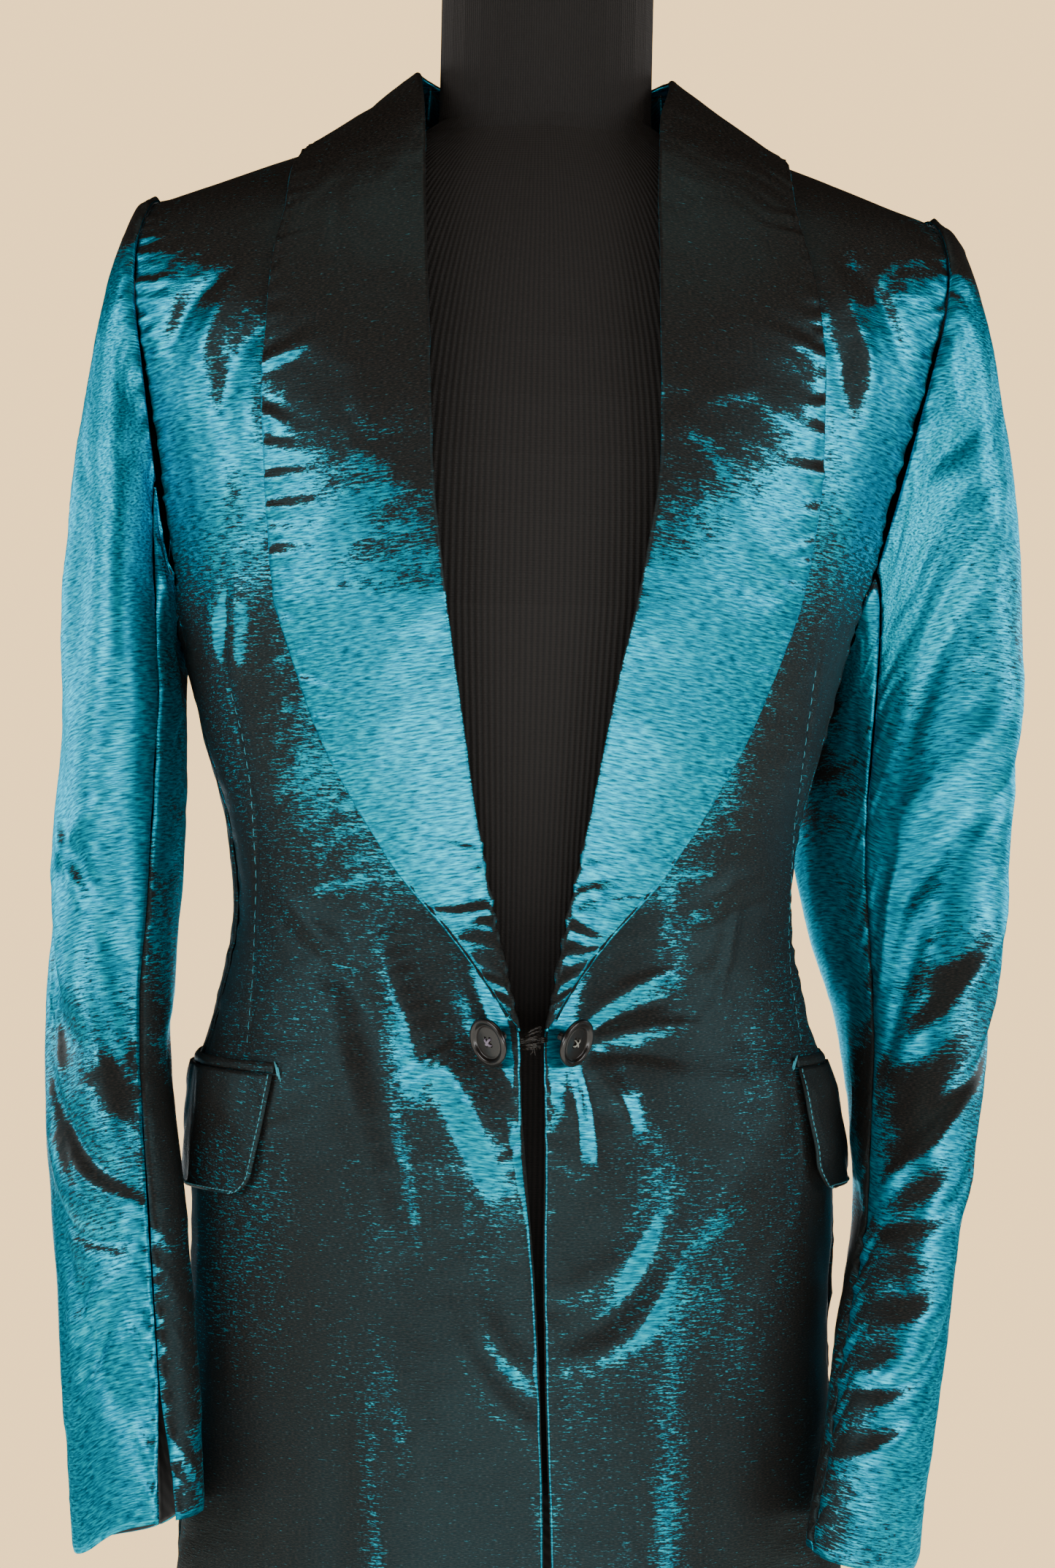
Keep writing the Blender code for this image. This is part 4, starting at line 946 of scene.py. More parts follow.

# %% [markdown]
# ## Folds drawn one by one
#
# Cloth remembers where it was pulled, pressed and stitched. Each fold is drawn like a pencil stroke: three
# points of a bend, a width and how far it stands out of the cloth or sinks in. A stroke is drawn on a
# plane that suits the piece: width and height seen from the front for the fronts, and the unrolled
# sleeve for the sleeves. Puckers beside a stitched edge are the same strokes in a row, uneven in length,
# spacing and strength, because a hand drew the thread tight.

# %% Strokes and puckers


def strokes(first, second, rows):
    """Height of a set of folds at places (first, second).

    A row is a quadratic bend through three points, then its width and its height. Across the bend the
    fold is a bell of the distance to it, and along it the height swells and fades as a sine.
    """
    height = np.zeros(first.shape)
    for a0, b0, a1, b1, a2, b2, width, stand in rows:
        span = math.hypot(a1 - a0, b1 - b0) + math.hypot(a2 - a1, b2 - b1)
        t = np.linspace(0, 1, int(np.clip(span / width * 1.6, 12, 160)))
        line_a = (1 - t) ** 2 * a0 + 2 * t * (1 - t) * a1 + t**2 * a2
        line_b = (1 - t) ** 2 * b0 + 2 * t * (1 - t) * b1 + t**2 * b2
        reach = 2.6 * width
        near = (first > line_a.min() - reach) & (first < line_a.max() + reach)
        near &= (second > line_b.min() - reach) & (second < line_b.max() + reach)
        if not near.any():
            continue
        away = (first[near][:, None] - line_a) ** 2 + (second[near][:, None] - line_b) ** 2
        nearest = away.argmin(axis=1)
        fade = np.sin(np.pi * (0.04 + 0.92 * t[nearest])) ** 0.75
        height[near] += stand * fade * np.exp(-away[np.arange(len(nearest)), nearest] / width**2)
    return height


def puckers(along, away, seed, spacing, reach, width, stand, start=-1e9, end=1e9):
    """Short ridges that run in from a stitched edge.

    Ridge k is a bell across itself at its own place along the edge, leans by its own slope, and fades
    with the distance from the edge over its own length.
    """
    random = np.random.default_rng(seed)
    low, high = max(float(along.min()), start), min(float(along.max()), end)
    height = np.zeros(along.shape)
    place = low + spacing * random.random()
    while place < high:
        long = reach * (0.35 + 1.0 * random.random() ** 1.6)
        wide = width * (0.7 + 0.6 * random.random())
        high_up = stand * (0.45 + 0.75 * random.random())
        lean = random.normal() * 0.22
        near = (np.abs(along - place) < 0.03) & (away < 2.2 * long)
        d = along[near] - place - lean * away[near]
        fade = np.exp(-((away[near] / long) ** 2)) * smooth_step((away[near] + 0.0002) / 0.0016)
        height[near] += high_up * fade * (bell(d, wide) - 0.55 * bell(d - 1.9 * wide, wide * 1.1))
        place += spacing * (0.45 + 1.1 * random.random())
    return height


RUMPLE_WAVES = 7


def rumple(along, up, seed, size, stand, stretch):
    """Broad uneven crumple: waves in many directions, each bent by the one before it."""
    random = np.random.default_rng(seed)
    height = np.zeros(along.shape)
    bend = np.zeros(along.shape)
    for _ in range(RUMPLE_WAVES):
        turn = random.uniform(0, np.pi)
        wave = 2 * np.pi / (size * (0.6 + 0.9 * random.random()))
        phase = random.uniform(0, 2 * np.pi)
        place = (along * np.cos(turn) + up * stretch * np.sin(turn)) * wave + phase + 1.3 * bend
        bend = np.sin(place)
        height += bend * np.abs(bend) ** 0.5
    return height * stand / RUMPLE_WAVES


# %% [markdown]
# ## Shot taffeta
#
# Taffeta is a crisp plain weave of silk. Shot taffeta has a warp of one colour and a weft of another:
# here a black-brown warp and a teal weft. On the real cloth the colour turns with the light, the thread
# and the eye together: near black where it looks up, bright teal where it looks ahead or down, with a
# broken edge of glints between. A material that followed the eye would slide over the coat when the view
# changes. So here the turn is painted into the colour: the teal weft as a painted highlight and painted
# reflection, the brown warp as painted shade, placed by the upward and sideways parts of the cloth's normal,
# by its place on the body, and by a slow cloud of noise. The real threads are about 0.1 mm apart. They
# are drawn four times as coarse, so that a render of the whole coat still shows the level grain.

# %% Smooth steps and the weave


def stepped(tree, *terms):
    """The product of smooth steps. A term (value, start, end) is 0 at its start and 1 at its end."""
    product = None
    for value, start, end in terms:
        inputs = {"Value": value, "From Min": start, "From Max": end}
        share = add_node(tree, "MapRange", inputs, interpolation_type="SMOOTHSTEP")
        if product is not None:
            share = add_node(tree, "Math", {0: product, 1: share}, operation="MULTIPLY")
        product = share
    return product


# columns: size along the weft and across it in mm, detail, shift of the noise, bump strength and depth
WEAVE = {
    "broad": (30.0, 18.0, 3.0, 7, 0.10, 0.0022),
    "slub": (6.5, 1.0, 3.0, 3, 0.30, 0.0005),
    "grain": (1.8, 0.42, 2.0, 0, 0.30, 0.0002),  # coarser than the real 0.1 mm threads, so that it shows
}


def weave(tree, seed):
    """Three noises on the cloth's own map, longer along the weft, and the normal after each one's bump."""
    place = add_node(tree, "UVMap", uv_map="UVMap")
    noises, normals = {}, []
    for name, (long_mm, tall_mm, detail, shift, strength, depth) in WEAVE.items():
        where = {"Location": (seed + shift, shift, 0), "Scale": (1000 / long_mm, 1000 / tall_mm, 1)}
        drawn = add_node(tree, "Mapping", {"Vector": place, **where})
        noises[name] = add_node(tree, "TexNoise", {"Vector": drawn, "Scale": 1.0, "Detail": detail})
        before = {"Normal": normals[-1]} if normals else {}
        inputs = {"Height": noises[name], "Strength": strength, "Distance": depth, **before}
        normals.append(add_node(tree, "Bump", inputs))
    return noises, normals


# %% Cloth material
# These steps place the taffeta's painted highlight and painted shade, by the normal and by the place on the
# body.
# Where each smooth step starts and ends. First on the size of the normal's sideways part:
AHEAD_ASIDE, HIGH_ASIDE = (0.72, 0.38), (0.20, 0.65)
MIDDLE_ASIDE, MIDDLE_ASIDE_END = (0.19, 0.46), (0.75, 0.55)
NOT_LOOKING_UP = (0.40, 0.12)  # on its upward part
# In metres: up, out from the middle, and ahead of it.
HIGH_UP, MIDDLE_OUT, MIDDLE_AHEAD = (1.18, 1.33), (0.085, 0.050), (0.0, -0.03)
# On the noises and their sums, which have no unit.
CLOUDS_PER_METRE = (12, 12, 6)  # clouds about 80 mm wide and 160 mm tall
CLOUD_EDGE = (0.42, 0.66)
LIE_WEIGHT = 0.68
THREAD_EDGE = (1.20, 1.44)
LEAST_LIE = (-0.25, 0.45)
WARP_COLOURS = ((0.30, "#161312"), (0.50, "#241f1c"), (0.70, "#3a312b"))
WEFT_COLOURS = ((0.34, "#00657f"), (0.50, "#009dbd"), (0.64, "#00cde4"))


def taffeta(name, seed, lean, drift=0.22, on_body=False):
    """Teal weft over a dull brown warp, told apart by how the cloth lies: painted highlight and painted
    shade.

    The painted highlight share is 1 where the normal's upward part is past lean[1], and 0 before lean[0]. On
    the body it also needs AHEAD_ASIDE, and the cloth shows its weft aside too, where it doesn't look up: high
    on the chest, or beside the front's middle. The larger of the two counts. To it comes drift times the
    cloud. That share and the threads' own noises are added up, and a step on the sum decides thread by
    thread between teal weft, which also takes the metal shine, and brown warp.
    """
    material, tree, shader = new_material(
        name,
        "#128097",
        0.30,
        Anisotropic=0.6,
        Sheen_Weight=0.03,
        Sheen_Roughness=0.4,
        Sheen_Tint=linear("#6b5a4c"),
        Specular_Tint=linear("#7fe0f0"),
        Specular_IOR_Level=0.35,
    )
    noises, normals = weave(tree, seed)
    spot = add_node(tree, "TexCoord").outputs["Object"]
    sideways, _, upward = add_node(tree, "SeparateXYZ", {"Vector": normals[0]}).outputs
    painted_highlight_share = stepped(tree, (upward, *lean))
    if on_body:
        x, y, z = add_node(tree, "SeparateXYZ", {"Vector": spot}).outputs
        aside = add_node(tree, "Math", {0: sideways}, operation="ABSOLUTE")
        out = add_node(tree, "Math", {0: x}, operation="ABSOLUTE")
        limit = stepped(tree, (aside, *AHEAD_ASIDE))
        ahead = add_node(tree, "Math", {0: painted_highlight_share, 1: limit}, operation="MULTIPLY")
        high = stepped(tree, (aside, *HIGH_ASIDE), (z, *HIGH_UP))
        turns_aside = ((aside, *MIDDLE_ASIDE), (aside, *MIDDLE_ASIDE_END))
        middle = stepped(tree, *turns_aside, (out, *MIDDLE_OUT), (y, *MIDDLE_AHEAD))
        either = add_node(tree, "Math", {0: high, 1: middle}, operation="MAXIMUM")
        level = stepped(tree, (upward, *NOT_LOOKING_UP))
        beside = add_node(tree, "Math", {0: either, 1: level}, operation="MULTIPLY")
        painted_highlight_share = add_node(tree, "Math", {0: beside, 1: ahead}, operation="MAXIMUM")
    drawn = add_node(tree, "Mapping", {"Vector": spot, "Location": (seed, 0, 0), "Scale": CLOUDS_PER_METRE})
    cloud = add_node(tree, "TexNoise", {"Vector": drawn, "Scale": 1.0, "Detail": 3.0})
    cloud = stepped(tree, (cloud, *CLOUD_EDGE))
    painted_highlight_share = add_node(tree, "Math", {0: cloud, 1: drift, 2: painted_highlight_share}, operation="MULTIPLY_ADD")
    threads = add_node(tree, "Math", {0: noises["grain"], 1: noises["slub"]}, operation="ADD")
    mixed = add_node(tree, "Math", {0: painted_highlight_share, 1: LIE_WEIGHT, 2: threads}, operation="MULTIPLY_ADD")
    # weft is the threads' grain together with the painted highlight share: at 1 the teal metal is painted
    # highlight and painted reflection, at 0 the brown warp is painted shade; the shine and the roughness
    # follow it.
    weft = stepped(tree, (mixed, *THREAD_EDGE), (painted_highlight_share, *LEAST_LIE))
    warp_colour = add_node(tree, "ValToRGB", {"Fac": noises["grain"]}, WARP_COLOURS)
    weft_colour = add_node(tree, "ValToRGB", {"Fac": noises["slub"]}, WEFT_COLOURS)
    colour = add_node(tree, "Mix", {"Factor": weft, 6: warp_colour, 7: weft_colour}, data_type="RGBA")
    shine = add_node(tree, "Math", {0: weft, 1: 0.95}, operation="MULTIPLY")
    rough = add_node(tree, "MapRange", {"Value": weft, "To Min": 0.45, "To Max": 0.40})
    weft_way = add_node(tree, "Tangent", direction_type="UV_MAP", uv_map="UVMap")
    fill(tree, shader, {"Base Color": colour.outputs[2], "Metallic": shine, "Roughness": rough})
    fill(tree, shader, {"Normal": normals[-1], "Tangent": weft_way})
    return material


# Each piece has its own copy with its own steps and drift, so the body, collar, sleeves, under sleeves and
# flaps carry more or less painted highlight; the flaps' copy only by the cloud.
body_taffeta = taffeta("shot_taffeta_body", 0.0, lean=(0.04, -0.46), on_body=True)
collar_taffeta = taffeta("shot_taffeta_collar", 3.0, lean=(0.17, -0.12), drift=0.0)
sleeve_taffeta = taffeta("shot_taffeta_sleeve", 7.0, lean=(0.48, 0.12), drift=-0.45)
flap_taffeta = taffeta("shot_taffeta_flap", 5.0, lean=(-1.2, -1.6))  # never by its lie: only by the cloud
under_taffeta = taffeta("shot_taffeta_under_sleeve", 9.0, lean=(0.25, -0.15))
print("the body's taffeta has", len(body_taffeta.node_tree.nodes), "nodes")

# %% [markdown]
# ## Lining
#
# The inside is a black twill-woven lining: it shows at the cuffs' slits, inside the skirt and at the hem.
# It is a plain dielectric with fine slanting ribs and a soft sheen.

# %% Lining material
# A wave turns by 20 times its scale in a metre, so the ribs stand 5 mm apart, coarser than a real twill's.
RIB_SCALE = 62.5


def lining_material():
    """The cloth's map turned by 45 degrees, and a sine across it as a low bump."""
    material, tree, shader = new_material("black_twill_lining", "#0d0c0e", 0.5, Sheen_Weight=0.25)
    place = add_node(tree, "UVMap", uv_map="UVMap")
    slanted = add_node(tree, "Mapping", {"Vector": place, "Rotation": (0, 0, math.radians(45))})
    rib = add_node(tree, "TexWave", {"Vector": slanted, "Scale": RIB_SCALE})
    bump = add_node(tree, "Bump", {"Height": rib.outputs["Fac"], "Strength": 0.4, "Distance": 0.0003})
    fill(tree, shader, {"Normal": bump})
    return material


lining = lining_material()
print("lining", lining.name)

# %% [markdown]
# ## A sheet of cloth from its surface
#
# One function makes every cloth piece. It computes the inner surface on a fine grid, moves it out by the
# cloth's thickness, adds the piece's own relief along the normal, and gives it a wall again with a
# Solidify modifier. The grid lines' own lengths become the UV map. At a seam the cloth turns in, so the
# grid sinks over the last millimetres. Crumple and puckers stand in one table each, by kind of piece.

# %% The cloth maker
WALL = 0.0011
SEAM_TURN = 0.0013  # metres over which a seam's edge turns in
SEAM_SINK = 0.0005
HEM_STITCHES_UP = 0.030
UNDER_COLLAR_HEIGHT = 1.40


def edge_distances(across, upward):
    """Metres from each of the four borders: first column, last column, first row, last row."""
    return across, across[:, -1:] - across, upward, upward[-1:] - upward


def seam_dip(distance, turn=SEAM_TURN, sink=SEAM_SINK):
    """A turned edge sinks by the square of the share that is left to where the turn starts."""
    return -sink * np.clip(1 - distance / turn, 0, 1) ** 2


def hem_line(from_hem):
    """The hem's stitches draw a low bell-shaped line above the edge."""
    return 0.0003 * bell(from_hem - HEM_STITCHES_UP, 0.0015)


def calm_at_neck(height):
    """Three quarters of the relief go where the collar lies on the cloth."""
    return 1 - 0.75 * smooth_step((height - UNDER_COLLAR_HEIGHT) / 0.03)


def sheet_points(surface, grid, side, relief=None, thickness=CLOTH):
    """The outer face of a sheet: the surface, plus its thickness and its relief along the normal."""
    columns, rows = grid
    u, v = np.meshgrid(np.linspace(0, 1, columns), np.linspace(0, 1, rows))
    points = surface(u, v)
    across, upward = lengths(points)
    normal = normals_of(points, side)
    points = points + normal * thickness
    if relief is not None:
        points = points + normal * relief(points, across, upward)[..., None]
    return points, stack(across, upward)


def add_wall(piece, thickness=WALL, inside=1):
    """A wall under the outer face, whose inner side takes the material at that step in the list."""
    wall = piece.modifiers.new("wall", "SOLIDIFY")
    wall.thickness = thickness
    wall.offset = -1.0
    wall.material_offset = inside


def cloth_sheet(name, surface, grid, side, node, relief, held, cloth=body_taffeta, thickness=CLOTH):
    """A piece of cloth that stands for a node. Where held is given, its flat cut and area are printed."""
    points, uv = sheet_points(surface, grid, side, relief, thickness)
    faces = grid_faces(*points.shape[:2], flip=side < 0)
    piece = new_piece(name, points, faces, [cloth, lining], uv, node)
    add_wall(piece)
    if held:
        declare_sheet(piece, points)
    return piece, points


LEAST_AREA_SHARE = 0.301  # a cut's area is at least 0.3 of its width times its length


def declare_sheet(piece, points):
    """The flat cut: the grid's longest row and column, and the area of all its cells."""
    across, upward = lengths(points)
    width, length = float(across[:, -1].max()), float(upward[-1].max())
    ways = np.cross(points[1:, 1:] - points[:-1, :-1], points[1:, :-1] - points[:-1, 1:])
    area = float(np.linalg.norm(ways, axis=-1).sum() / 2)
    area = min(max(area, LEAST_AREA_SHARE * width * length), width * length)
    flat = (round(width, 4), round(length, 4))
    area = min(area, flat[0] * flat[1])
    print(f"{piece.name}: cut {width * 1000:.0f} x {length * 1000:.0f} mm, {area:.4f} m2")

# %% Crumple and puckers of every piece
FAR = 1.0  # metres, for a place that isn't beside the edge in question
# rows added up for a piece. columns: step of the seed, size and stand in metres, stretch up the cloth
RUMPLES = {
    "front": ((0, 0.13, 0.0022, 0.7), (10, 0.035, 0.0005, 1.5)),
    "side or back": ((0, 0.12, 0.0020, 0.7), (1, 0.035, 0.0005, 1.5)),
    "collar": ((0, 0.090, 0.0014, 1.2), (2, 0.030, 0.0003, 2.0)),
    "flap": ((0, 0.045, 0.0016, 1.0),),
    "jet": ((0, 0.02, 0.0006, 1.0),),
    "sleeve": ((0, 0.10, 0.0016, 0.8), (5, 0.035, 0.0004, 1.4)),
}
# columns in metres: spacing, reach, width, stand
PUCKERS = {
    "free edge": (0.013, 0.009, 0.0022, 0.0011),
    "armhole": (0.012, 0.014, 0.0026, 0.0013),
    "front seam": (0.022, 0.010, 0.003, 0.0006),
    "side or back": (0.018, 0.012, 0.0028, 0.0008),
    "collar edge": (0.0165, 0.020, 0.0026, 0.0015),
    "between them": (0.008, 0.006, 0.0014, 0.0004),
    "collar tip": (0.011, 0.014, 0.0030, 0.0008),
    "forearm": (0.013, 0.011, 0.0030, 0.0024),
    "upper arm": (0.024, 0.010, 0.0028, 0.0009),
    "back seam": (0.022, 0.010, 0.0028, 0.0008),
    "sleeve head": (0.011, 0.012, 0.0028, 0.0024),
}


def crumpled(height, across, upward, seed, kind):
    """A relief with the rumples of that kind of piece added one after the other."""
    for step, size, stand, stretch in RUMPLES[kind]:
        height = height + rumple(across, upward, seed + step, size, stand, stretch)
    return height


print(len(PUCKERS), "kinds of puckers and", len(RUMPLES), "kinds of crumple")

# %% [markdown]
# ## Making the fronts
#
# The fronts carry most of the coat's story. A dart runs from below the chest to the pocket and takes in
# the waist. The link pulls the two edges together, so folds run out from it; below it the free edges
# fall in hooked drags. Beside the armhole the cloth hangs in a few long soft folds.

# %% Folds of the fronts
# columns: three points of the bend as across and height, then width and stand, in tenths of a millimetre
TENTHS = 1e4  # in a metre
FRONT_STROKES = {
    "right": (
        (-1522, 12334, -1544, 12152, -1536, 11945, 22, -30),
        (-1572, 12320, -1602, 12140, -1590, 11900, 40, 22),
        (-1480, 12310, -1492, 12140, -1478, 11900, 36, 26),
        (-1536, 11980, -1490, 11660, -1396, 11340, 14, -14),
        (-1396, 11370, -1337, 11061, -1368, 10740, 13, -12),
        (-1368, 10770, -1366, 10417, -1388, 10050, 13, -11),
        (-1441, 13875, -1700, 13640, -1792, 13015, 60, 22),
        (-1379, 13631, -1562, 13361, -1702, 12866, 70, -20),
        (-1516, 13854, -1790, 13800, -1863, 13353, 45, -18),
        (-1420, 13300, -1480, 12900, -1620, 12500, 80, 18),
        (-760, 10700, -560, 10200, -400, 9850, 120, 45),
        (-470, 10130, -290, 9850, -80, 9450, 140, 70),
        (-310, 10475, -152, 10136, -105, 9720, 42, -20),
        (-640, 10620, -440, 9900, -180, 9250, 90, -26),
        (-1075, 10801, -905, 9934, -662, 9180, 95, 26),
        (-900, 10500, -740, 9700, -520, 8900, 75, -18),
        (-239, 8883, -81, 8563, 57, 8515, 40, 26),
        (-300, 8760, -110, 8470, 60, 8400, 42, -22),
        (-430, 8956, -191, 8391, 71, 8242, 55, 16),
        (-1342, 10947, -1109, 10649, -803, 10466, 60, 14),
        (-1300, 10800, -1080, 10500, -800, 10300, 55, -13),
        (-653, 8726, -491, 8235, -405, 7744, 110, 20),
        (-900, 8600, -860, 7600, -900, 6400, 120, -22),
        (-118, 9985, -59, 9682, -29, 9341, 22, -16),
    ),
    "left": (
        (245, 10257, 450, 10451, 716, 10494, 36, 22),
        (260, 10200, 480, 10340, 740, 10370, 32, -20),
        (285, 10163, 531, 10242, 790, 10228, 34, 22),
        (285, 10110, 520, 10130, 730, 10060, 34, -18),
        (268, 10068, 423, 9956, 486, 9700, 50, 26),
        (220, 10040, 310, 9850, 330, 9560, 38, -20),
        (170, 10020, 235, 9801, 204, 9497, 34, 14),
        (108, 8641, 540, 8620, 706, 9163, 50, 32),
        (150, 8720, 480, 8760, 640, 9200, 52, -22),
        (82, 8964, 330, 8929, 589, 9275, 42, 18),
        (706, 9163, 856, 9317, 1081, 9511, 85, 20),
        (760, 9020, 900, 9200, 1120, 9400, 80, -16),
        (79, 9115, 156, 9060, 231, 9099, 22, 14),
        (711, 10760, 937, 10916, 1202, 10997, 55, 14),
        (760, 10650, 980, 10800, 1230, 10860, 50, -13),
        (1407, 12182, 1340, 11419, 1320, 10847, 13, -13),
        (1320, 10867, 1318, 10467, 1374, 10050, 13, -12),
        (1369, 13972, 1567, 13711, 1694, 13104, 60, 22),
        (1356, 13705, 1476, 13441, 1563, 12948, 65, -20),
        (1450, 14000, 1700, 13900, 1800, 13400, 45, -16),
        (600, 8400, 560, 7600, 600, 6500, 120, 10),
        (950, 8700, 900, 7900, 930, 6800, 110, -9),
        (1690, 12740, 1735, 12420, 1660, 12080, 75, 32),
    ),
}
FRONT_GRID = (104, 330)


def front_relief(which, side):
    """Strokes and crumple, calmer at the free edge and under the collar, and puckers along the borders."""
    seed = int(side)

    def relief(points, across, upward):
        from_edge, from_seam, from_hem, _ = edge_distances(across, upward)
        x, z = points[..., 0], points[..., 2]
        armhole = z > ARMPIT_HEIGHT - 0.004
        below_link = z < LINK_HEIGHT - 0.012
        height = strokes(x, z, np.array(FRONT_STROKES[which]) / TENTHS)
        height = crumpled(height, across, upward, 11 + seed, "front")
        free = np.where(below_link, from_edge, FAR)
        head, seam = np.where(armhole, from_seam, FAR), np.where(armhole, FAR, from_seam)
        height = height * smooth_step(from_edge / 0.006 + 0.35) * calm_at_neck(z)
        height = height + puckers(z, free, 31 + seed, *PUCKERS["free edge"])
        height = height + puckers(upward, head, 41 + seed, *PUCKERS["armhole"])
        height = height + puckers(upward, seam, 51 + seed, *PUCKERS["front seam"])
        turned = np.where(below_link, seam_dip(from_edge), 0.0)
        return height + turned + seam_dip(from_seam) + hem_line(from_hem)

    return relief


fronts = {}
for which, side in SIDES.items():
    name, relief = f"front_{which}", front_relief(which, side)
    fronts[which] = cloth_sheet(
        f"coat_{name}", front_panel(side), FRONT_GRID, side, name, relief, "draped"
    )

# %% [markdown]
# ## Sides and back
#
# The side panels are narrow strips between two seams. The back is cut in two halves with a seam down the
# middle, and the seams draw the cloth a little, so short puckers stand along them. The skirt's folds grow
# towards the hem. The picture hides this side, so its folds are like the front's, calmer.

# %% Side and back panels
BACK_STROKES = (
    (600, 11000, 950, 11250, 1350, 11500, 60, 16),
    (600, 10800, 1000, 10950, 1350, 11000, 50, -14),
    (300, 10600, 700, 10500, 1100, 10600, 50, 14),
    (300, 10450, 700, 10300, 1100, 10350, 50, -12),
    (1200, 12300, 1400, 12800, 1500, 13400, 70, 18),
    (1400, 12200, 1580, 12600, 1650, 13100, 60, -16),
    (400, 9600, 550, 8500, 600, 7000, 120, 20),
    (900, 9400, 980, 8500, 1000, 7200, 100, -20),
)


SIDE_GRID, BACK_GRID = (26, 240), (66, 260)


def seam_relief(seed, rows=()):
    """Strokes and crumple, calmer under the collar, and puckers along both seams."""

    def relief(points, across, upward):
        from_first, from_last, from_hem, _ = edge_distances(across, upward)
        height = strokes(np.abs(points[..., 0]), points[..., 2], np.array(rows) / TENTHS)
        height = crumpled(height, across, upward, seed, "side or back") * calm_at_neck(points[..., 2])
        height = height + puckers(upward, from_first, seed + 2, *PUCKERS["side or back"])
        height = height + puckers(upward, from_last, seed + 3, *PUCKERS["side or back"])
        return height + seam_dip(from_first) + seam_dip(from_last) + hem_line(from_hem)

    return relief


for which, side in SIDES.items():
    for name, surface, grid, relief in (
        (f"side_{which}", side_panel(side), SIDE_GRID, seam_relief(60 + int(side))),
        (f"back_{which}", back_panel(side), BACK_GRID, seam_relief(70 + int(side), BACK_STROKES)),
    ):
        cloth_sheet(f"coat_{name}", surface, grid, side, name, relief, "draped")

# %% [markdown]
# ## Making the collar
#
# The collar is padded and pressed into its roll, and its edge is sewn by hand: the thread draws it into
# short sharp puckers a finger's width apart, which is what the eye sees first. The fold at the roll line
# is a half tube that joins the top face to the front under it.

# %% Collar
COLLAR_GRID = (56, 300)
STAND_GRID = (80, 12)
ROLL_RADIUS = 0.0019
ROLL_COLUMNS = 6
COLLAR_WALL = 0.0013
CHEST_HEIGHT = 1.31


def collar_relief(side):
    """Puckers from the edge, strongest on the chest, crumple, the tip's puckers and the stitched line."""
    seed = int(side)

    def relief(points, across, upward):
        from_roll, from_edge, _, _ = edge_distances(across, upward)
        edge, roll = upward[:, -1:] + 0 * upward, upward[:, :1] + 0 * upward
        height = puckers(edge, from_edge, 81 + seed, *PUCKERS["collar edge"])
        height = height + puckers(edge, from_edge, 91 + seed, *PUCKERS["between them"])
        height = height * (0.45 + 0.75 * bell(points[..., 2] - CHEST_HEIGHT, 0.10))
        height = crumpled(height, across, upward, 95 + seed, "collar")
        tip = puckers(roll, from_roll, 99 + seed, *PUCKERS["collar tip"], end=0.09)
        stitched = -0.0005 * bell(from_edge - 0.0030, 0.0009)
        return height + tip + stitched + seam_dip(from_edge, 0.0014, 0.0011)

    return relief


def rolled(points, side):
    """Half circles set before the first column, from the roll line round and under the collar."""
    normal = normals_of(points, side)[:, :1]
    outward = unit(points[:, :1] - points[:, 1:2])
    turn = np.radians(np.linspace(165, 18, ROLL_COLUMNS))[None, :, None]
    centre = points[:, :1] - normal * ROLL_RADIUS
    bend = centre + ROLL_RADIUS * (normal * np.cos(turn) + outward * np.sin(turn))
    return np.concatenate([bend, points], axis=1)


def level_map(points):
    """The weft lies level and rises a little towards the middle, though the collar's grid is slanted."""
    x, y, z = points[..., 0], points[..., 1], points[..., 2]
    return stack(np.abs(x) + 0.5 * y, z + 0.15 * np.abs(x))


def collar_piece(node, points, side, uv, wall):
    """A padded and doubled strip, which shows the outer cloth on both faces."""
    faces = grid_faces(*points.shape[:2], flip=side < 0)
    piece = new_piece(f"coat_{node}", points, faces, [collar_taffeta, lining], uv, node)
    add_wall(piece, wall, inside=0)
    return piece


for which, side in SIDES.items():
    points, _ = sheet_points(collar(side), COLLAR_GRID, side, collar_relief(side), COLLAR_THICKNESS)
    points = rolled(points, side)
    piece = collar_piece(f"collar_{which}", points, side, level_map(points), COLLAR_WALL)
    declare_sheet(piece, points)

points, uv = sheet_points(collar_stand, STAND_GRID, 1.0)
piece = collar_piece("collar_stand", points, 1.0, uv, WALL)
declare_sheet(piece, points)

# %% [markdown]
# ## Making the flaps and jets
#
# A flap is two layers turned out and pressed, so its edge is thick and round. A line of small running
# stitches in the teal weft's colour holds it a few millimetres inside the edge, and the jet above it is
# a narrow rolled strip.

# %% Pocket flaps and jets
FLAP_GRID = (64, 36)
JET_GRID = (64, 8)
FLAP_EDGE = 0.0022  # metres over which a flap's pressed edge turns


def flap_relief(side):
    """A turned edge on three borders, a stitched line inside it, and crumple."""

    def relief(points, across, upward):
        near = np.minimum.reduce(np.broadcast_arrays(*edge_distances(across, upward)[:3]))
        height = seam_dip(near, FLAP_EDGE, 0.0010) - 0.0004 * bell(near - 0.0045, 0.0010)
        return crumpled(height, across, upward, 101 + int(side), "flap")

    return relief


def jet_relief(points, across, upward):
    """A half round across its depth: a sine of the share of the depth."""
    deep = upward / upward[-1:]
    return crumpled(0.0007 * np.sin(np.pi * deep), across, upward, 7, "jet")


flaps = {}
for which, side in SIDES.items():
    node, relief = f"pocket_flap_{which}", flap_relief(side)
    flap, points = cloth_sheet(
        f"coat_flap_{which}", pocket_flap(which), FLAP_GRID, side, node, relief, None, cloth=flap_taffeta
    )
    jet, _ = cloth_sheet(
        f"coat_jet_{which}",
        pocket_welt(which),
        JET_GRID,
        side,
        f"pocket_welt_{which}",
        jet_relief,
        None,
        cloth=flap_taffeta,
        thickness=WELT_THICKNESS,
    )
    declare_sheet(flap, points)
    flaps[which] = points

